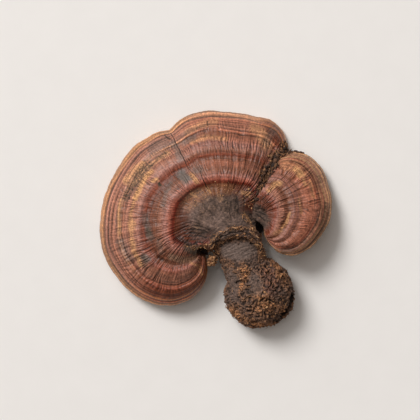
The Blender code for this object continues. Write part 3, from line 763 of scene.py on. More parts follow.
SIDE_OCHRE = [
    ([(51.5, 31.5), (54.5, 28.5)], 2.5, 1.0),
    ([(44.0, 33.5), (50.0, 33.0), (56.0, 28.5)], 3.2, 0.35),
    ([(56.0, 24.5), (57.0, 21.5)], 1.1, 0.8),
    ([(33.5, 17.5), (38.0, 22.0), (41.0, 22.5)], 1.5, 0.85),
    ([(46.7, 3.5), (44.8, -2.3), (41.5, -6.1)], 0.7, 0.9),
    ([(41.0, -7.5), (37.5, -9.0)], 1.2, 0.4),
    ([(60.0, 24.0), (62.5, 14.0)], 1.3, 0.4),
    ([(52.5, 12.5), (54.2, 4.0)], 0.8, 0.5),
]
SIDE_SOOT = [
    ([(66.5, 26.0), (68.5, 24.5)], 1.6, 0.4),
    ([(64.0, 12.0), (64.5, -2.0)], 1.1, 0.4),
]
SIDE_ASH = [
    ([(60.0, 34.0), (65.0, 28.0), (67.0, 22.0)], 2.4, 0.2),
]
# Painted shade on the side cap's lower right flank, which turns away from the lamp.
SIDE_PAINTED_SHADE = [([(70.5, 7.0), (68.2, -3.0), (63.0, -12.2), (54.3, -19.2), (44.0, -20.0)], 3.5, 1.0)]
SIDE_ROOT = [([(23.5, 6.8), (28.0, 4.0), (31.0, -1.0)], 3.2, 1.0),
             ([(24.0, 1.5), (27.0, -1.5), (30.5, -4.2)], 2.4, 1.0)]


def stain_field(grid, stains, seed):
    """Strongest of several uneven patches at each point, on the skin side only: stains, and also painted
    shade and painted sheen.
    """
    x, y = grid["x"], grid["y"]
    grain = Grain(seed)
    speckle = grain(stack(x / 1.6, y / 1.6, 0.0)) + 0.8 * grain(stack(x / 0.8, y / 0.8, 5.0))
    broad = grain(stack(x / 5.0, y / 5.0, 9.0))
    field = np.zeros(x.shape)
    for line, width, strength in stains:
        mask = ragged_patch(x, y, line, width, 0.35 * speckle + 0.3 * broad, 0.55)
        field = np.maximum(field, strength * mask)
    return np.where(grid["upper"], np.clip(field, 0.0, 1.0), 0.0)


def lowland(x, y):
    """1 on the browner lower lobe, the cleft's flank and the right shoulder of the large cap."""
    lobe = ease(-10.0, -34.0, y) * ease(-62.0, -38.0, x)
    # Painted light: the lobe's brown fades round (-17, -33), so the lighter red shows on a slope turned from
    # the lamp.
    lobe = lobe * (1 - 0.75 * bump(0.0, 7.0, np.hypot(x + 17.0, y + 33.0)))
    shoulder = ease(18.0, 40.0, x) * ease(5.0, 25.0, y)
    return np.clip(np.maximum(lobe, shoulder), 0.0, 1.0)


def highland(x, y):
    """1 on the paler crown of the large cap."""
    return ease(20.0, 40.0, y) * ease(-24.0, -14.0, x) * ease(36.0, 22.0, x)


# ---------------------------------------------------------------- node materials
class Graph:
    """Short way to write the nodes of one material."""

    def __init__(self, name):
        self.material = bpy.data.materials.new(name)
        self.material.use_nodes = True
        self.nodes = self.material.node_tree.nodes
        self.links = self.material.node_tree.links
        self.nodes.clear()
        self.shader = self.nodes.new("ShaderNodeBsdfPrincipled")
        output = self.nodes.new("ShaderNodeOutputMaterial")
        self.links.new(self.shader.outputs[0], output.inputs[0])

    def put(self, socket, value):
        if isinstance(value, bpy.types.NodeSocket):
            self.links.new(value, socket)
        elif socket.type == "RGBA":
            socket.default_value = (*value, 1.0)
        else:
            socket.default_value = value

    def field(self, name):
        node = self.nodes.new("ShaderNodeAttribute")
        node.attribute_name = name
        return node.outputs["Fac"]

    def place(self, name=None):
        if name is None:
            return self.nodes.new("ShaderNodeTexCoord").outputs["Object"]
        node = self.nodes.new("ShaderNodeAttribute")
        node.attribute_name = name
        return node.outputs["Vector"]

    def math(self, operation, *values):
        node = self.nodes.new("ShaderNodeMath")
        node.operation = operation
        for socket, value in zip(node.inputs, values):
            self.put(socket, value)
        return node.outputs[0]

    def product(self, *values):
        total = values[0]
        for value in values[1:]:
            total = self.math("MULTIPLY", total, value)
        return total

    def times(self, place, factors):
        node = self.nodes.new("ShaderNodeVectorMath")
        node.operation = "MULTIPLY"
        self.put(node.inputs[0], place)
        self.put(node.inputs[1], factors)
        return node.outputs[0]

    def noise(self, place, scale=1.0, detail=2.0, rough=0.5):
        node = self.nodes.new("ShaderNodeTexNoise")
        self.put(node.inputs["Vector"], place)
        self.put(node.inputs["Scale"], scale)
        self.put(node.inputs["Detail"], detail)
        self.put(node.inputs["Roughness"], rough)
        return node.outputs["Fac"]

    def cells(self, place, scale):
        node = self.nodes.new("ShaderNodeTexVoronoi")
        self.put(node.inputs["Vector"], place)
        self.put(node.inputs["Scale"], scale)
        return node.outputs["Distance"]

    def span(self, value, low, high, start=0.0, end=1.0):
        node = self.nodes.new("ShaderNodeMapRange")
        for socket, setting in zip(node.inputs, (value, low, high, start, end)):
            self.put(socket, setting)
        return node.outputs[0]

    def vary(self, noise, low, high):
        """A noise spread from low to high over its usual range."""
        return self.span(noise, 0.3, 0.7, low, high)

    def ramp(self, value, stops):
        node = self.nodes.new("ShaderNodeValToRGB")
        self.put(node.inputs[0], value)
        elements = node.color_ramp.elements
        while len(elements) < len(stops):
            elements.new(0.5)
        for element, (place, _) in zip(elements, stops):
            element.position = place
        for element, (_, colour) in zip(elements, stops):
            element.color = (*colour, 1.0)
        return node.outputs[0]

    def blend(self, start, end, part):
        node = self.nodes.new("ShaderNodeMix")
        node.data_type = "RGBA"
        self.put(node.inputs[0], part)
        self.put(node.inputs[6], start)
        self.put(node.inputs[7], end)
        return node.outputs[2]

    def shade(self, colour, value):
        """Colour made lighter or darker by a factor."""
        node = self.nodes.new("ShaderNodeVectorMath")
        node.operation = "SCALE"
        self.put(node.inputs[0], colour)
        self.put(node.inputs["Scale"], value)
        return node.outputs[0]

    def bumps(self, height, strength, distance):
        node = self.nodes.new("ShaderNodeBump")
        self.put(node.inputs["Height"], height)
        self.put(node.inputs["Strength"], strength)
        self.put(node.inputs["Distance"], distance)
        self.links.new(node.outputs[0], self.shader.inputs["Normal"])


# Colours of the varnished skin, and the order in which they follow each other out from the hub.
PAINTED_SHADOW_BROWN = (0.035, 0.014, 0.008)
OXBLOOD = (0.17, 0.02, 0.008)
MAROON = (0.13, 0.036, 0.016)
UMBER = (0.18, 0.07, 0.04)
BRICK = (0.24, 0.065, 0.035)
CRIMSON = (0.28, 0.065, 0.035)
RUST = (0.26, 0.11, 0.07)
RUSSET = (0.34, 0.13, 0.08)
MAUVE = (0.31, 0.14, 0.11)
ROSE = (0.42, 0.145, 0.10)
CLAY = (0.37, 0.17, 0.12)
SAND = (0.43, 0.21, 0.12)
AMBER = (0.42, 0.16, 0.06)
TAN = (0.42, 0.21, 0.10)
STRAW = (0.52, 0.30, 0.155)
WARMTH = (1.0, 0.925, 0.87)    # pulls every skin colour away from pink, towards red-brown
MAIN_RED = [
    (0.28, MAROON), (0.345, MAROON), (0.365, OXBLOOD), (0.40, ROSE), (0.44, MAUVE), (0.48, RUST),
    (0.52, UMBER), (0.58, MAROON), (0.61, BRICK), (0.65, MAUVE), (0.69, CLAY), (0.73, RUST),
    (0.765, CLAY), (0.80, RUST), (0.825, SAND), (0.85, CLAY), (0.89, RUST), (0.93, CLAY),
    (0.945, RUST), (0.97, TAN), (1.00, TAN),
]
MAIN_CROWN = [
    (0.28, UMBER), (0.35, MAROON), (0.375, OXBLOOD), (0.405, CRIMSON), (0.44, MAROON), (0.49, UMBER),
    (0.53, RUSSET), (0.58, UMBER), (0.61, BRICK), (0.65, RUST), (0.71, MAUVE), (0.75, RUSSET), (0.79, UMBER),
    (0.82, RUSSET), (0.85, RUST), (0.93, RUSSET), (0.95, SAND), (0.97, SAND), (1.00, TAN),
]
# Ramp of the browner lower lobe; its near-black band from 0.36 to 0.40 is painted shade where the lobe dips
# towards the neck.
MAIN_BROWN = [
    (0.30, MAROON), (0.36, PAINTED_SHADOW_BROWN), (0.40, PAINTED_SHADOW_BROWN), (0.46, MAROON), (0.58, UMBER), (0.64, BRICK), (0.69, RUST),
    (0.76, RUST), (0.82, BRICK), (0.85, MAROON), (0.915, MAROON), (0.935, AMBER), (0.955, BRICK),
    (0.975, AMBER), (1.00, TAN),
]
SIDE_RED = [
    (0.00, UMBER), (0.28, MAROON), (0.34, BRICK), (0.37, MAUVE), (0.41, CLAY), (0.44, CLAY), (0.465, RUST),
    (0.49, UMBER), (0.51, UMBER), (0.54, RUST), (0.57, MAUVE), (0.59, RUST), (0.61, MAUVE), (0.645, RUST),
    (0.68, RUSSET), (0.80, RUSSET), (0.82, BRICK), (0.835, RUST), (0.85, MAROON), (0.865, SAND),
    (0.885, RUSSET), (0.895, RUST), (0.91, STRAW), (0.925, SAND), (0.937, RUST), (0.955, STRAW),
    (0.97, RUST), (0.985, STRAW), (1.00, STRAW),
]
OCHRE = (0.58, 0.30, 0.135)
SOOT_AND_PAINTED_SHADE_COLOUR = (0.070, 0.056, 0.038)
ASH = (0.120, 0.092, 0.076)
PAINTED_CRACK_SHADOW = (0.018, 0.010, 0.007)
HUB_DARK = (0.075, 0.048, 0.035)
HUB_MID = (0.178, 0.110, 0.084)
HUB_TAN = (0.300, 0.175, 0.100)
PAINTED_SHEEN_LILAC = (0.235, 0.157, 0.130)
PORES = (0.400, 0.255, 0.150)
PORE_HOLES = (0.180, 0.105, 0.060)


def warmed(stops):
    """The same ramp with its green and blue dulled."""
    return [(place, tuple(value * part for value, part in zip(colour, WARMTH))) for place, colour in stops]


def skin_material(name, red, brown=None, crown=None):
    """Varnished, wrinkled skin that turns granular over the hub and to fine pores underneath."""
    graph = Graph(name)
    spot = graph.place()
    flow = graph.place("flow")
    rays = graph.noise(graph.times(flow, (1.25, 0.10, 1.0)), detail=3.0, rough=0.6)
    bands = graph.noise(graph.times(flow, (0.025, 1.15, 1.0)), detail=3.0, rough=0.65)
    mottle = graph.noise(spot, scale=150.0, detail=4.0, rough=0.6)
    speck = graph.noise(spot, scale=900.0, detail=3.0, rough=0.65)
    drift = graph.math("MULTIPLY_ADD", graph.math("SUBTRACT", mottle, 0.5), 0.02, graph.field("ring"))
    skin = graph.ramp(drift, warmed(red))
    if brown:
        skin = graph.blend(skin, graph.ramp(drift, warmed(brown)), graph.field("brown"))
        skin = graph.blend(skin, graph.ramp(drift, warmed(crown)), graph.field("crown"))
    outer = graph.span(graph.field("ring"), 0.74, 0.84)
    dark_band = graph.span(outer, 0.0, 1.0, 0.84, 0.66)
    pale_band = graph.span(outer, 0.0, 1.0, 1.16, 1.34)
    line = graph.math("SUBTRACT", graph.field("line"), 0.5)
    line_depth = graph.span(outer, 0.0, 1.0, 0.35, 1.1)
    crest = graph.field("crest")
    # Lightness of the skin: real streaks, bands, growth lines, specks and mottling, times painted shade in
    # the hollows and painted highlight on the crests of the relief.
    light = graph.product(
        graph.vary(rays, 0.80, 1.20),
        graph.vary(bands, dark_band, pale_band),
        graph.math("MULTIPLY_ADD", line, line_depth, 1.0),
        graph.vary(speck, 0.62, 1.36),
        graph.vary(mottle, 0.84, 1.16),
        graph.span(crest, -1.0, 0.0, 0.34, 1.0),
        graph.span(crest, 0.0, 1.0, 1.0, 1.30),
    )
    skin = graph.shade(skin, light)
    clumps = graph.noise(spot, scale=420.0, detail=4.0, rough=0.7)
    patches = graph.noise(spot, scale=95.0, detail=3.0, rough=0.6)
    hub = graph.blend(HUB_DARK, HUB_MID, graph.span(clumps, 0.36, 0.58))
    tan = graph.product(graph.span(speck, 0.55, 0.68), graph.span(patches, 0.42, 0.62))
    hub = graph.blend(hub, HUB_TAN, tan)
    streak = graph.field("streak")
    # Painted sheen: the lilac highlight of the hub, where the sheen patches and the streaks meet.
    lilac = graph.product(graph.field("lilac"), graph.span(streak, 0.2, 0.7))
    hub = graph.blend(hub, PAINTED_SHEEN_LILAC, lilac)
    hub = graph.shade(hub, graph.span(streak, 0.15, 0.85, 0.62, 1.22))
    # Painted shade in the hub's hollows and painted highlight on its crests.
    hub = graph.shade(hub, graph.span(crest, -1.0, 1.0, 0.42, 1.28))
    hub = graph.shade(hub, graph.span(speck, 0.3, 0.7, 0.70, 1.24))
    skin = graph.blend(skin, hub, graph.field("hub"))
    # Painted shade: the skin taken down to 0.42 of its colour where the shade field is set.
    skin = graph.blend(skin, graph.shade(skin, 0.42), graph.field("shade"))
    dusty = graph.math("MULTIPLY", graph.field("ochre"), graph.span(speck, 0.35, 0.6, 0.45, 1.1))
    skin = graph.blend(skin, graph.shade(OCHRE, light), dusty)
    skin = graph.blend(skin, graph.shade(ASH, light), graph.field("ash"))
    # Soot, and on the large cap painted shade in the gap beside the neck, in a dark grey-brown.
    soot_and_painted_shade_part = graph.math("MULTIPLY", graph.field("soot"), graph.span(speck, 0.4, 0.62, 1.15, 0.35))
    skin = graph.blend(skin, graph.shade(SOOT_AND_PAINTED_SHADE_COLOUR, light), soot_and_painted_shade_part)

    holes = graph.cells(spot, 2600.0)
    pores = graph.blend(PORE_HOLES, PORES, graph.span(holes, 0.15, 0.45))
    pores = graph.shade(pores, graph.span(mottle, 0.3, 0.7, 0.75, 1.2))
    skin = graph.blend(skin, pores, graph.field("under"))
    # Painted shade: near-black in the bottoms of the cracks and holes.
    skin = graph.blend(skin, PAINTED_CRACK_SHADOW, graph.field("crack"))
    graph.put(graph.shader.inputs["Base Color"], skin)

    dull = graph.math("MAXIMUM", graph.field("hub"), graph.field("under"))
    dull = graph.math("MAXIMUM", dull, graph.math("MAXIMUM", graph.field("ochre"), graph.field("soot")))
    gloss = graph.span(mottle, 0.3, 0.7, 0.36, 0.50)
    graph.put(graph.shader.inputs["Roughness"], graph.span(dull, 0.0, 1.0, gloss, 0.9))
    graph.put(graph.shader.inputs["Specular IOR Level"], 0.38)
    height = graph.math("ADD", graph.math("MULTIPLY", bands, 0.5), graph.math("MULTIPLY", speck, 0.35))
    height = graph.math("ADD", height, graph.math("MULTIPLY", clumps, graph.field("hub")))
    graph.bumps(height, 0.7, 0.0006)
    return graph.material


def crust_material(name):
    """Charred-brown bark of the stem: crumbs, orange-brown breaks and a smoother grey neck."""
    graph = Graph(name)
    spot = graph.place()
    clumps = graph.noise(spot, scale=380.0, detail=4.0, rough=0.7)
    speck = graph.noise(spot, scale=1100.0, detail=3.0, rough=0.65)
    patches = graph.noise(spot, scale=120.0, detail=3.0, rough=0.6)
    fibres = graph.noise(graph.times(graph.place("flow"), (0.5, 3.2, 1.0)), detail=4.0, rough=0.65)
    clumped = graph.span(clumps, 0.34, 0.60)
    bark = graph.blend(BARK_BLACK, BARK_BROWN, clumped)
    warm = graph.math("ADD", graph.field("warm"), graph.span(patches, 0.4, 0.7, -0.25, 0.35))
    warm = graph.math("MULTIPLY", warm, graph.span(speck, 0.40, 0.62, 0.35, 1.0))
    bark = graph.blend(bark, BARK_RED, graph.product(graph.field("ruddy"), clumped))
    bark = graph.blend(bark, BARK_ORANGE, warm)
    smooth = graph.blend(NECK_DARK, NECK_GREY, graph.span(fibres, 0.35, 0.62))
    bark = graph.blend(bark, smooth, graph.field("smooth"))
    crest = graph.field("crest")
    # Painted shade in the hollows of the crust and painted highlight on its crests.
    painted_hollow_shade = graph.span(crest, -1.0, 0.0, 0.30, 1.0)
    painted_crest_highlight = graph.span(crest, 0.0, 1.0, 1.0, 1.35)
    bark = graph.shade(bark, graph.product(painted_hollow_shade, painted_crest_highlight, graph.vary(speck, 0.62, 1.42)))
    # Painted shade: near-black in the bottoms of the stem's cracks.
    bark = graph.blend(bark, PAINTED_CRACK_SHADOW, graph.field("crack"))
    graph.put(graph.shader.inputs["Base Color"], bark)
    graph.put(graph.shader.inputs["Roughness"], graph.span(graph.field("smooth"), 0.0, 1.0, 0.92, 0.72))
    height = graph.math("ADD", clumps, graph.math("MULTIPLY", speck, 0.6))
    graph.bumps(graph.math("ADD", height, graph.math("MULTIPLY", fibres, graph.field("smooth"))), 0.7, 0.0005)
    return graph.material


def crumb_material(name):
    """Loose crumbs and fibres, each with a shade of its own."""
    graph = Graph(name)
    spot = graph.place()
    speck = graph.noise(spot, scale=1300.0, detail=3.0, rough=0.6)
    tone = graph.field("tone")
    colour = graph.ramp(tone, CRUMB_TONES)
    colour = graph.shade(colour, graph.span(speck, 0.3, 0.7, 0.7, 1.3))
    graph.put(graph.shader.inputs["Base Color"], colour)
    graph.put(graph.shader.inputs["Roughness"], graph.span(speck, 0.0, 1.0, 0.85, 0.95))
    graph.bumps(speck, 0.5, 0.0003)
    return graph.material


# ---------------------------------------------------------------- stem
BARK_BLACK = (0.026, 0.017, 0.013)
BARK_BROWN = (0.140, 0.080, 0.056)
BARK_ORANGE = (0.455, 0.200, 0.080)
BARK_RED = (0.185, 0.078, 0.052)
NECK_DARK = (0.062, 0.041, 0.031)
NECK_GREY = (0.205, 0.138, 0.112)
CRUMB_TONES = [
    (0.00, (0.024, 0.013, 0.009)), (0.30, (0.070, 0.034, 0.020)), (0.55, (0.155, 0.073, 0.038)),
    (0.80, (0.340, 0.160, 0.070)), (1.00, (0.560, 0.310, 0.150)),
]
STEM_COLUMNS = 360
STEM_HIDDEN_ROWS = 10
STEM_ROWS = 236
STEM_HIDDEN_END = 1.5            # station up to which the stem is inside the hub
# Knobs and dents of the swollen base's outline: point in plan, half width, height.
STEM_KNOBS = [((5.0, -45.5), 1.8, 1.2), ((6.5, -40.5), 1.8, -1.0), ((33.5, -24.0), 2.8, -1.8)]
STEM_SLIT = [(48.4, -46.5), (48.0, -51.0), (46.8, -55.7), (44.2, -60.3), (40.4, -64.3), (35.0, -66.6)]
# Patches of the swollen base where orange-brown wood is torn open: points in plan, half width.
EMBERS = [
    ([(17.0, -31.0), (19.5, -36.0), (16.5, -42.0)], 3.2),
    ([(36.5, -27.5), (40.0, -33.0), (43.0, -40.0)], 2.8),
    ([(27.0, -50.0), (33.0, -55.0), (39.0, -57.0)], 5.5),
    ([(10.0, -57.0), (16.0, -62.5), (26.0, -67.5), (37.0, -68.5)], 2.4),
    ([(2.5, -31.0), (5.5, -33.0)], 2.0),
]
RUDDY = [(33.0, -34.0), (36.5, -40.0), (33.0, -45.0)]
# Cracks of the stem: points in plan, half width, depth; painted near-black inside, as painted shade.
STEM_CRACKS = [
    (STEM_SLIT, 0.9, 5.5),
    ([(13.2, -41.2), (15.6, -39.8), (18.8, -39.4)], 0.9, 2.4),
    ([(7.5, -44.9), (10.2, -44.4)], 0.8, 1.2),
    ([(12.0, -58.0), (13.2, -56.4)], 0.8, 1.0),
    ([(31.0, -36.5), (36.0, -41.0), (39.0, -47.0)], 0.6, 0.8),
    ([(22.5, -53.0), (28.0, -51.2), (35.0, -51.8), (40.5, -54.5)], 0.7, 1.0),
]


def stem_surface(seed):
    """Grid of the stem with its crust, and the fields that its colours follow."""
    last = len(STEM_STATIONS) - 1
    fine = np.linspace(0.0, last - LAST_PLACE, 3001)
    stations = smooth_rows(STEM_STATIONS, fine, closed=False)
    nose = np.maximum(1.0 - fine / STEM_NOSE_END, 0.0)
    base = np.maximum(fine - STEM_BASE_START, 0.0) / (last - STEM_BASE_START)
    girth = np.sqrt(np.maximum(1.0 - nose * nose - base * base, 0.0))
    outline = np.stack([stations[:, 0], stations[:, 1], girth * stations[:, 3]], axis=1)
    lengths = np.concatenate([[0.0], np.cumsum(np.linalg.norm(np.diff(outline, axis=0), axis=1))])
    hidden = np.interp(STEM_HIDDEN_END, fine, lengths)
    marks = np.concatenate([np.linspace(0.0, hidden, STEM_HIDDEN_ROWS + 1)[1:],
                            np.linspace(hidden, lengths[-1], STEM_ROWS + 1)[1:-1]])
    rows = np.interp(marks, lengths, fine)
    stations = smooth_rows(STEM_STATIONS, rows, closed=False)
    girth = np.interp(rows, fine, girth)
    ahead = smooth_rows(STEM_STATIONS, np.minimum(rows + STATION_STEP, last - LAST_PLACE), closed=False)
    behind = smooth_rows(STEM_STATIONS, np.maximum(rows - STATION_STEP, 0.0), closed=False)
    forward = (ahead - behind)[:, :2]
    forward = forward / np.linalg.norm(forward, axis=1, keepdims=True)
    turn = -math.tau * np.arange(STEM_COLUMNS) / STEM_COLUMNS
    across = np.cos(turn)[None] * (stations[:, 3] * girth)[:, None]
    tall = np.where(np.sin(turn)[None] > 0, stations[:, 4:5], stations[:, 5:6])
    rise = np.sin(turn)[None] * tall * girth[:, None]
    points = stack(stations[:, 0:1] - forward[:, 1:2] * across,
                   stations[:, 1:2] + forward[:, 0:1] * across, stations[:, 2:3] + rise)
    x, y = points[..., 0], points[..., 1]
    along = np.broadcast_to(marks[:, None], x.shape)
    around = turn[None] * np.maximum(stations[:, 3:4] * girth[:, None], 3.0)

    coarse, fine_grain = Grain(seed), Grain(seed + 1)
    lumps = coarse(points / 11.0) + 0.45 * coarse(points / 5.0 + 30.0)
    bulb = ease(-27.0, -36.0, y - 0.25 * (x - 18.0))
    smooth_neck = ragged_patch(x, y, [(8.5, -20.6), (14.0, -21.2), (20.5, -19.6)], 5.0,
                               0.35 * coarse(stack(x / 3.0, y / 3.0, 2.0)), 0.3)
    crown_patch = ragged_patch(x, y, [(24.5, -38.5), (27.0, -44.5)], 4.2,
                               0.5 * coarse(stack(x / 2.5, y / 2.5, 7.0)), 0.4)
    flank_patch = ragged_patch(x, y, [(9.0, -35.0), (12.5, -42.0), (11.0, -50.0)], 3.0,
                               0.6 * coarse(stack(x / 2.5, y / 2.5, 11.0)), 0.4)
    smooth_bulb = np.maximum(crown_patch, flank_patch)
    smooth = np.clip(smooth_neck + 0.5 * smooth_bulb, 0.0, 1.0) * ease(8.0, 16.0, points[..., 2])
    warp = stack(coarse(points / 3.0), coarse(points / 3.0 + 11.0), coarse(points / 3.0 + 23.0))
    near, beyond, share = cells(points / 2.9 + 0.35 * warp, seed + 2)
    small_near, small_beyond, small_share = cells(points / 1.35 + 0.3 * warp, seed + 3)
    flakes = np.clip(beyond - near, 0.0, 0.5) * 2.0
    small_flakes = np.clip(small_beyond - small_near, 0.0, 0.5) * 2.0
    ridged = 1.0 - np.abs(layered(fine_grain, points / 1.8, 3, 0.6))
    torn = 1.0 - np.abs(layered(coarse, points / 4.4 + 0.4 * warp, 3, 0.6))
    crust = (0.9 * (share - 0.4) * ease(0.0, 0.6, flakes) + 0.5 * flakes - 0.3 + 2.3 * (torn - 0.75)
             + 0.35 * small_flakes * (0.4 + small_share) + 0.5 * (ridged - 0.7))
    wrinkles = coarse(stack(around / 9.0, along / 1.5 + 0.6 * coarse(points / 5.0), 4.0))
    wrinkles = wrinkles + 0.5 * coarse(stack(around / 5.0, along / 0.8, 6.0))
    neck_relief = 0.48 * wrinkles + 0.08 * layered(fine_grain, points / 1.2, 2)
    out_of_cap = ease(hidden - 3.0, hidden + 2.0, along)
    rough = mix(0.55, 1.0, bulb)
    relief = mix(crust * rough, neck_relief - 0.1, smooth) + mix(0.25, 0.9, bulb) * lumps * 0.7
    pit, _ = line_distance(x + 0.8 * warp[..., 0], y + 0.8 * warp[..., 1], [(34.0, -53.5), (35.5, -60.5)])
    pit = 1 - ease(2.0, 6.5, pit)
    relief = relief - 1.5 * pit * ease(14.0, 20.0, points[..., 2])
    # crack: where near-black is painted into the stem's cracks, as painted shade.
    crack = np.zeros(x.shape)
    sink = np.zeros(x.shape)
    crack_wander = 0.6 * fine_grain(points / 2.2)
    upper_side = ease(6.0, 12.0, points[..., 2])
    for line, half_width, depth in STEM_CRACKS:
        cut = groove(x, y, line, half_width, crack_wander) * upper_side
        sink = np.maximum(sink, depth * cut)
        crack = np.maximum(crack, 0.9 * cut)
    for (knob_x, knob_y), half_width, height in STEM_KNOBS:
        relief = relief + height * bump(0.0, half_width, np.hypot(x - knob_x, y - knob_y))
    inner_collar, _ = line_distance(x, y, COLLAR_INNER)
    roll = 1.1 * bump(0.0, 0.9, inner_collar + 0.8 * warp[..., 0])
    relief = relief + roll * ease(16.0, 22.0, points[..., 2])
    points = points + grid_normals(points) * (relief * out_of_cap)[..., None]
    points[..., 2] = np.maximum(points[..., 2] - sink, 0.0)

    # crest: how far the crust stands above or sinks below its surroundings, which the crust material uses for
    # painted shade in the hollows and painted highlight on the crests.
    fresh = relief - blurred(relief, 2)
    wide = relief - blurred(relief, 6)
    crest = np.clip(fresh / 0.22, -1.0, 1.0) * 0.5 + np.clip(wide / 0.6, -1.0, 1.0) * 0.5
    warm_zone = 0.05 * bulb + 0.45 * (1 - ease(2.0, 10.0, points[..., 2]))
    for line, half_width in EMBERS:
        away, _ = line_distance(x, y, line)
        warm_zone = np.maximum(warm_zone, 0.95 * bump(0.0, half_width, away + 1.2 * warp[..., 0]))
    ruddy, _ = line_distance(x, y, RUDDY)
    ruddy = bump(0.0, 4.5, ruddy + 1.5 * warp[..., 1]) * upper_side
    warm_zone = warm_zone + 0.5 * bump(0.0, 2.2, inner_collar)
    warm = np.clip(warm_zone * (0.25 + 1.2 * share * small_share ** 0.5) + 0.2 * crest, 0.0, 1.0)
    warm = warm * (1 - 0.85 * smooth)
    fields = {"crest": crest, "crack": np.clip(crack, 0.0, 1.0), "smooth": smooth, "warm": warm,
              "ruddy": ruddy, "flow": stack(around, along, 0.0)}
    turns = np.linspace(0.0, 1.0, STEM_COLUMNS + 1)
    lengthwise = marks / lengths[-1]
    chart = stack(0.01 + 0.98 * turns[None], 0.01 + 0.98 * lengthwise[:, None])
    poles = np.array([[0.5, 0.0], [0.5, 1.0]])
    ends = (points[0].mean(0), points[-1].mean(0))
    strides = np.where(rows < STEM_HIDDEN_END * 0.95, 4, 1)
    strides[np.argmax(strides == 1)] = 2
    return points, strides, ends, fields, [(chart, poles), (chart, poles)]


# ---------------------------------------------------------------- pieces
SEED = 41
main_grid = cap_surface(MAIN_CAP, MAIN_UPPER, MAIN_LOWER, MAIN_COLUMNS, MAIN_SEAM, SEED,
                        MAIN_CRACKS, MAIN_SWELLS, MAIN_RIDGES, MAIN_HOLES, ((-29.9, 57.0), 1.4, 3.2))
main_fields = main_grid["fields"]
main_fields["ochre"] = stain_field(main_grid, MAIN_OCHRE, SEED + 5)
main_fields["soot"] = stain_field(main_grid, MAIN_SOOT_AND_PAINTED_SHADE, SEED + 6)
main_fields["ash"] = stain_field(main_grid, MAIN_ASH, SEED + 7)
main_fields["brown"] = lowland(main_grid["x"], main_grid["y"])
main_fields["crown"] = highland(main_grid["x"], main_grid["y"])
main_fields["shade"] = stain_field(main_grid, MAIN_PAINTED_SHADE, SEED + 8)
main_fields["lilac"] = stain_field(main_grid, HUB_PAINTED_SHEEN, SEED + 9)
main_cap = finish_cap("main_cap_skin", MAIN_CAP, main_grid)
main_cap.data.materials.append(skin_material("main_skin", MAIN_RED, MAIN_BROWN, MAIN_CROWN))

side_grid = cap_surface(SIDE_CAP, SIDE_UPPER, SIDE_LOWER, SIDE_COLUMNS, SIDE_SEAM, SEED + 10,
                        SIDE_CRACKS, [], [], [], None)
side_fields = side_grid["fields"]
side_fields["ochre"] = stain_field(side_grid, SIDE_OCHRE, SEED + 15)
side_fields["soot"] = stain_field(side_grid, SIDE_SOOT, SEED + 16)
side_fields["ash"] = stain_field(side_grid, SIDE_ASH, SEED + 17)
side_fields["hub"] = stain_field(side_grid, SIDE_ROOT, SEED + 18)
# Painted shade on the side cap's lower right flank; its root against the large cap is darkened at half
# strength too.
side_fields["shade"] = np.maximum(0.5 * side_fields["hub"], stain_field(side_grid, SIDE_PAINTED_SHADE, SEED + 19))
side_cap = finish_cap("side_cap_skin", SIDE_CAP, side_grid)
side_cap.data.materials.append(skin_material("side_skin", SIDE_RED))

stem_points, stem_strides, stem_ends, stem_fields, stem_charts = stem_surface(SEED + 20)
stem = closed_grid("stem_crust", stem_points, stem_strides, stem_ends, stem_fields, stem_charts, 0)
stem.data.materials.append(crust_material("crust"))

for piece, node, slot in ((main_cap, "main_cap", "cap_skin"), (side_cap, "side_cap", "side_cap_skin"),
                          (stem, "stem", "stem_crust")):
    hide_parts(node)
    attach(piece, "root")


# ---------------------------------------------------------------- loose crumbs, flakes and fibres
GROUND_HALF = 90.0                # half side of the height map, in millimetres
GROUND_CELL = 0.5
GROUND_DEPTH = 0.9                # points this far below the top of their cell still count as shown
GOLDEN = (1 + 5 ** 0.5) / 2
PEBBLE = np.array([(-1, GOLDEN, 0), (1, GOLDEN, 0), (-1, -GOLDEN, 0), (1, -GOLDEN, 0), (0, -1, GOLDEN),
                   (0, 1, GOLDEN), (0, -1, -GOLDEN), (0, 1, -GOLDEN), (GOLDEN, 0, -1), (GOLDEN, 0, 1),
                   (-GOLDEN, 0, -1), (-GOLDEN, 0, 1)]) / math.hypot(1, GOLDEN)
PEBBLE_FACES = np.array([(0, 11, 5), (0, 5, 1), (0, 1, 7), (0, 7, 10), (0, 10, 11), (1, 5, 9), (5, 11, 4),
                         (11, 10, 2), (10, 7, 6), (7, 1, 8), (3, 9, 4), (3, 4, 2), (3, 2, 6), (3, 6, 8),
                         (3, 8, 9), (4, 9, 5), (2, 4, 11), (6, 2, 10), (8, 6, 7), (9, 8, 1)])
FIBRE_STEPS = 6


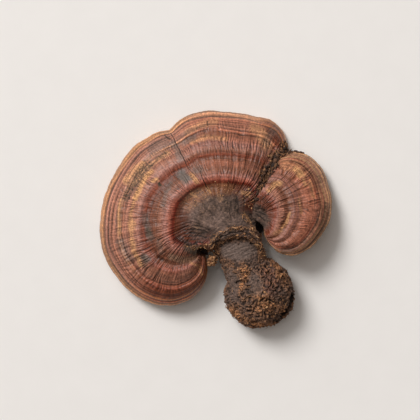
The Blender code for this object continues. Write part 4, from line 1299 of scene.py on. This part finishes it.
class Ground:
    """The surfaces that show from above, where litter can lie."""

    def __init__(self, grids):
        spots = np.concatenate([grid.reshape(-1, 3) for grid in grids])
        normals = np.concatenate([grid_normals(grid).reshape(-1, 3) for grid in grids])
        cell = np.floor((spots[:, :2] + GROUND_HALF) / GROUND_CELL).astype(int)
        side = int(2 * GROUND_HALF / GROUND_CELL)
        top = np.full((side, side), -1.0)
        np.maximum.at(top, (cell[:, 0], cell[:, 1]), spots[:, 2])
        shown = (spots[:, 2] > top[cell[:, 0], cell[:, 1]] - GROUND_DEPTH) & (normals[:, 2] > -0.3)
        owner = np.repeat(np.arange(len(grids)), [grid.shape[0] * grid.shape[1] for grid in grids])
        cell = cell[shown]
        crowd = np.zeros((side, side))
        np.add.at(crowd, (cell[:, 0], cell[:, 1]), 1.0)
        self.spots = spots[shown]
        self.normals = normals[shown]
        self.owner = owner[shown]
        self.share = 1.0 / crowd[cell[:, 0], cell[:, 1]] / np.maximum(self.normals[:, 2], 0.35)

    def near(self, line, width):
        away, _ = line_distance(self.spots[:, 0], self.spots[:, 1], line)
        return np.exp(-(away / width) ** 2)

    def guide(self, line):
        """Direction of the nearest stretch of a broken line at every point."""
        line = np.array(line, float)
        best = np.full(len(self.spots), 1e9)
        heading = np.zeros((len(self.spots), 3))
        for start, end in zip(line[:-1], line[1:]):
            middle = (start + end) / 2
            away = np.hypot(self.spots[:, 0] - middle[0], self.spots[:, 1] - middle[1])
            step = (end - start) / np.linalg.norm(end - start)
            heading[away < best] = (step[0], step[1], 0.0)
            best = np.minimum(best, away)
        return heading

    def pick(self, rng, count, weight):
        odds = self.share * weight
        chosen = rng.choice(len(odds), size=count, p=odds / odds.sum())
        return chosen, self.spots[chosen], self.normals[chosen]


class Litter:
    """Many small closed shapes gathered into one mesh, each with a tone of its own."""

    def __init__(self, seed):
        self.rng = np.random.default_rng(seed)
        self.points = []
        self.corners = []
        self.sizes = []
        self.tones = []
        self.count = 0

    def unit(self, count):
        vectors = self.rng.normal(size=(count, 3))
        return vectors / np.linalg.norm(vectors, axis=1, keepdims=True)

    def add(self, shapes, faces, tones):
        amount, corners = shapes.shape[:2]
        base = self.count + corners * np.arange(amount)[:, None, None]
        for part in faces:
            self.corners.append((part[None] + base).ravel())
            self.sizes.append(np.full(amount * len(part), part.shape[1]))
        self.points.append(shapes.reshape(-1, 3))
        self.tones.append(np.repeat(tones, corners))
        self.count += amount * corners

    def crumbs(self, spots, normals, sizes, tones, flat=0.3, lift=0.3):
        """Ragged pebbles, pressed flat along the surface by a share and raised by part of their size."""
        amount = len(spots)
        turn = np.linalg.qr(self.rng.normal(size=(amount, 3, 3)))[0]
        spread = self.rng.uniform(0.3, 1.5, (amount, 1, 3))
        ragged = self.rng.uniform(0.65, 1.2, (amount, len(PEBBLE), 1))
        shapes = (PEBBLE[None] * ragged * spread * sizes[:, None, None]) @ turn
        rise = (shapes * normals[:, None]).sum(-1, keepdims=True)
        middles = spots + normals * (sizes * lift)[:, None]
        shapes = shapes - normals[:, None] * rise * flat + middles[:, None]
        self.add(shapes, [PEBBLE_FACES], tones)

    def fibres(self, spots, normals, lengths, radii, tones, rise=0.35, guide=None):
        """Thin curved strands that lie along the surface and lift off it a little."""
        amount = len(spots)
        heading = self.unit(amount)
        if guide is not None:
            heading = 0.45 * heading + guide * self.rng.choice([-1.0, 1.0], (amount, 1))
        heading = heading - normals * (heading * normals).sum(1, keepdims=True)
        heading = heading / np.linalg.norm(heading, axis=1, keepdims=True) + rise * normals
        side = np.cross(heading, normals)
        side = side / np.linalg.norm(side, axis=1, keepdims=True)
        sideways = self.rng.normal(0.0, 0.5, (amount, 1))
        downwards = self.rng.uniform(0.1, 0.5, (amount, 1))
        curl = side * sideways - normals * downwards
        part = np.linspace(0.0, 1.0, FIBRE_STEPS)[None, :, None]
        path = spots[:, None] + lengths[:, None, None] * (heading[:, None] * part + curl[:, None] * part ** 2)
        thick = radii[:, None, None] * np.sqrt(1.05 - (2 * part - 1) ** 2)
        rings = []
        for corner in range(3):
            angle = math.tau * corner / 3
            across = math.cos(angle) * side[:, None] + math.sin(angle) * normals[:, None]
            rings.append(path + thick * across)
        shapes = np.stack(rings, axis=2).reshape(amount, -1, 3)
        walls = []
        for ring in range(0, 3 * (FIBRE_STEPS - 1), 3):
            for corner in range(3):
                beside = (corner + 1) % 3
                walls.append((ring + corner, ring + beside, ring + 3 + beside, ring + 3 + corner))
        tip = 3 * (FIBRE_STEPS - 1)
        self.add(shapes, [np.array(walls), np.array([(2, 1, 0), (tip, tip + 1, tip + 2)])], tones)

    def mesh(self, name):
        """One object of all the shapes, spread on its bake map as seen from above."""
        points = np.concatenate(self.points)
        points[:, 2] = np.maximum(points[:, 2], 0.0)
        corners = np.concatenate(self.corners)
        low = points[:, :2].min(0)
        flat = (points[:, :2] - low) / (points[:, :2].max(0) - low)
        obj = new_object(name, points, corners, np.concatenate(self.sizes), flat[corners])
        add_field(obj.data, "tone", np.concatenate(self.tones))
        return obj


ground = Ground([main_grid["points"], side_grid["points"], stem_points])


def sprinkle(litter, count, weight, size, tone, flat=0.3, lift=0.3):
    """Crumbs over the ground where the weight is high.  size and tone are low and high limits."""
    _, spots, normals = ground.pick(litter.rng, count, weight)
    sizes = mix(size[0], size[1], litter.rng.random(count) ** 2.2)
    litter.crumbs(spots, normals, sizes, litter.rng.uniform(tone[0], tone[1], count), flat, lift)


def strew(litter, count, weight, length, radius, tone, rise=0.35, line=None):
    """Fibres over the ground where the weight is high, along a line where one is given."""
    chosen, spots, normals = ground.pick(litter.rng, count, weight)
    lengths = litter.rng.uniform(length[0], length[1], count)
    radii = litter.rng.uniform(radius[0], radius[1], count)
    guide = None if line is None else ground.guide(line)[chosen]
    litter.fibres(spots, normals, lengths, radii, litter.rng.uniform(tone[0], tone[1], count), rise, guide)


def heap(litter, count, centre, reach, size, tone):
    """A lump of crumbs filling an ellipsoid."""
    away = litter.unit(count) * litter.rng.random((count, 1)) ** 0.45
    spots = np.array(centre) + away * np.array(reach)
    sizes = litter.rng.uniform(size[0], size[1], count)
    litter.crumbs(spots, litter.unit(count), sizes, litter.rng.uniform(tone[0], tone[1], count), 0.2, 0.0)


place_x, place_y, place_z = ground.spots.T
on_stem = np.where(ground.owner == 2, 1.0, 0.0)
bulb_part = on_stem * ease(-27.0, -34.0, place_y - 0.25 * (place_x - 18.0)) * ease(1.0, 5.0, place_z)
patchiness = ease(0.0, 0.6, layered(Grain(SEED + 30), ground.spots / 6.5, 2))
bare_crown = ground.near([(25.0, -39.0), (28.0, -44.5)], 5.5)
bare_flank = ground.near([(10.0, -36.0), (12.5, -43.0)], 4.0)
bare = np.maximum(bare_crown, bare_flank)
stem_litter = Litter(SEED + 31)
embers = np.clip(sum(ground.near(line, half_width) for line, half_width in EMBERS), 0.0, 1.0)
bulb_part = bulb_part * (1 - 0.95 * ground.near(STEM_SLIT, 1.5)) * (1 - 0.9 * bare)
sprinkle(stem_litter, 300, bulb_part * embers * (0.05 + patchiness), (0.25, 1.2), (0.3, 1.0), 0.6, 0.05)
sprinkle(stem_litter, 150, bulb_part * (0.02 + patchiness), (0.25, 1.1), (0.0, 0.8), 0.6, 0.05)
lower_neck = on_stem * ground.near([(6.0, -29.0), (14.0, -30.0), (24.0, -30.5), (34.0, -30.0)], 4.0)
sprinkle(stem_litter, 130, lower_neck, (0.25, 0.9), (0.1, 0.85), 0.6, 0.05)
strew(stem_litter, 150, bulb_part * (0.1 + embers), (1.6, 4.6), (0.12, 0.30), (0.3, 1.0), 0.03)
stem_crumbs = stem_litter.mesh("stem_crumbs")

collar_litter = Litter(SEED + 32)
outer_roll = ground.near(COLLAR_OUTER, 0.9)
inner_roll = ground.near(COLLAR_INNER, 0.9)
leg_roll = ground.near(HOOD_LEG, 0.8)
band = ground.near(COLLAR_INNER, 2.6) * ground.near(COLLAR_OUTER, 4.0)
sprinkle(collar_litter, 160, outer_roll + inner_roll + 0.5 * leg_roll, (0.25, 0.95), (0.3, 1.0), 0.4, 0.2)
sprinkle(collar_litter, 130, band, (0.25, 0.8), (0.05, 0.75), 0.4, 0.2)
strew(collar_litter, 190, outer_roll, (1.2, 4.0), (0.14, 0.38), (0.25, 1.0), 0.08, COLLAR_OUTER)
strew(collar_litter, 170, inner_roll, (1.2, 4.0), (0.14, 0.38), (0.2, 1.0), 0.08, COLLAR_INNER)
strew(collar_litter, 60, leg_roll, (1.2, 4.0), (0.12, 0.3), (0.4, 1.0), 0.12, HOOD_LEG)
heap(collar_litter, 130, (-2.2, -26.6, 21.0), (3.2, 3.4, 4.5), (0.5, 1.3), (0.6, 1.0))
heap(collar_litter, 60, (0.6, -22.6, 21.0), (2.2, 2.6, 4.0), (0.45, 1.1), (0.2, 0.95))
LEFT_GAP = [(-16.5, -18.0), (-12.6, -18.4), (-7.6, -18.0), (-3.4, -18.8)]
sprinkle(collar_litter, 60, ground.near(LEFT_GAP, 1.3), (0.3, 0.9), (0.4, 1.0), 0.3, 0.3)
strew(collar_litter, 50, ground.near(LEFT_GAP, 1.2), (1.2, 3.2), (0.14, 0.34), (0.3, 1.0), 0.3, LEFT_GAP)
hub_specks = ground.near([(-14.0, 11.0), (-6.0, 15.0), (2.0, 18.0), (10.0, 18.5), (19.0, 15.5)], 3.8)
sprinkle(collar_litter, 260, hub_specks, (0.14, 0.40), (0.75, 1.0))
collar_crumbs = collar_litter.mesh("collar_crumbs")

CLEFT = [(22.5, 9.0), (25.8, 17.5), (30.5, 25.0), (36.0, 32.5), (41.5, 38.5), (46.0, 42.8)]
SIDE_RIM = [(46.5, 42.6), (50.0, 43.6), (53.2, 43.2), (56.5, 42.2)]
FLANK = [(31.5, 29.5), (36.5, 36.0), (41.0, 41.5), (44.0, 46.0)]
cleft_litter = Litter(SEED + 33)
flank = ground.near(FLANK, 2.4)
cleft_floor = ground.near(CLEFT, 2.5) * ease(26.5, 23.5, place_z) * (1 - 0.8 * ease(38.0, 42.0, place_y))
sprinkle(cleft_litter, 680, cleft_floor, (0.4, 1.7), (0.0, 0.5), 0.3, 0.35)
sprinkle(cleft_litter, 170, ground.near(CLEFT, 3.0), (0.3, 0.9), (0.3, 1.0), 0.3, 0.35)
strew(cleft_litter, 420, cleft_floor, (2.0, 5.0), (0.18, 0.55), (0.1, 0.9), 0.04, CLEFT)
strew(cleft_litter, 60, cleft_floor, (1.2, 2.6), (0.14, 0.3), (0.3, 1.0), 0.15)
sprinkle(cleft_litter, 150, flank, (0.3, 1.2), (0.1, 0.95), 0.4, 0.2)
strew(cleft_litter, 200, flank, (1.5, 4.5), (0.15, 0.42), (0.15, 1.0), 0.06, FLANK)
sprinkle(cleft_litter, 120, ground.near(SIDE_RIM, 1.0), (0.4, 1.6), (0.1, 0.9), 0.3, 0.1)
strew(cleft_litter, 16, ground.near(SIDE_RIM, 0.8), (0.8, 1.6), (0.15, 0.40), (0.1, 0.8), 0.0, SIDE_RIM)
cleft_crumbs = cleft_litter.mesh("cleft_litter")

crumb_look = crumb_material("crumbs")
for piece in (stem_crumbs, collar_crumbs, cleft_crumbs):
    piece.data.materials.append(crumb_look)
    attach(piece, "root")


# ---------------------------------------------------------------- floor, light and camera
def aim(obj, target):
    direction = np.array(target) - np.array(obj.location)
    flat = math.hypot(direction[0], direction[1])
    tilt = math.atan2(flat, -direction[2])
    turn = math.atan2(direction[1], direction[0]) - math.pi / 2
    obj.rotation_euler = (tilt, 0.0, turn)


floor_mesh = bpy.data.meshes.new("floor")
FLOOR_HALF = 4.0
floor_mesh.from_pydata([(-FLOOR_HALF, -FLOOR_HALF, 0.0), (FLOOR_HALF, -FLOOR_HALF, 0.0),
                        (FLOOR_HALF, FLOOR_HALF, 0.0), (-FLOOR_HALF, FLOOR_HALF, 0.0)], [], [(0, 1, 2, 3)])
floor = bpy.data.objects.new("floor", floor_mesh)
bpy.context.scene.collection.objects.link(floor)
paper = Graph("paper")
paper_grain = paper.noise(paper.place(), scale=60.0, detail=3.0)
paper.put(paper.shader.inputs["Base Color"],
          paper.ramp(paper_grain, [(0.3, (0.838, 0.823, 0.805)), (0.7, (0.852, 0.837, 0.819))]))
paper.put(paper.shader.inputs["Roughness"], 0.9)
floor_mesh.materials.append(paper.material)

LIGHT_COLOUR = (1.0, 0.985, 0.97)
# Each soft light: bearing and height in degrees, distance, disc diameter in metres, watts.
LIGHTS = [
    ("key", 132.0, 47.0, 6.0, 2.7, 278.0),
    ("glow", 132.0, 54.0, 6.0, 9.0, 163.0),
]
for name, bearing, height, distance, width, watts in LIGHTS:
    light_data = bpy.data.lights.new(name, "AREA")
    light_data.shape = "DISK"
    light_data.size = width
    light_data.energy = watts
    light_data.color = LIGHT_COLOUR
    light = bpy.data.objects.new(name, light_data)
    level = distance * math.cos(math.radians(height))
    light.location = (level * math.cos(math.radians(bearing)), level * math.sin(math.radians(bearing)),
                      distance * math.sin(math.radians(height)))
    bpy.context.scene.collection.objects.link(light)
    aim(light, (0.0, 0.0, 0.0))

SKY_COLOUR = (1.0, 0.87, 0.77, 1.0)
SKY_STRENGTH = 0.178
world = bpy.data.worlds.new("studio")
world.use_nodes = True
background = world.node_tree.nodes["Background"]
background.inputs["Color"].default_value = SKY_COLOUR
background.inputs["Strength"].default_value = SKY_STRENGTH
bpy.context.scene.world = world
bpy.context.scene.view_settings.view_transform = "Standard"

CAMERA_HEIGHT = 1.0
camera_data = bpy.data.cameras.new("camera")
camera_data.sensor_width = 36.0
camera_data.lens = 132.0
camera_data.clip_end = 20.0
camera = bpy.data.objects.new("camera", camera_data)
camera.location = (-0.0035, 0.0055, CAMERA_HEIGHT)
bpy.context.scene.collection.objects.link(camera)
bpy.context.scene.camera = camera

bpy.context.view_layer.update()
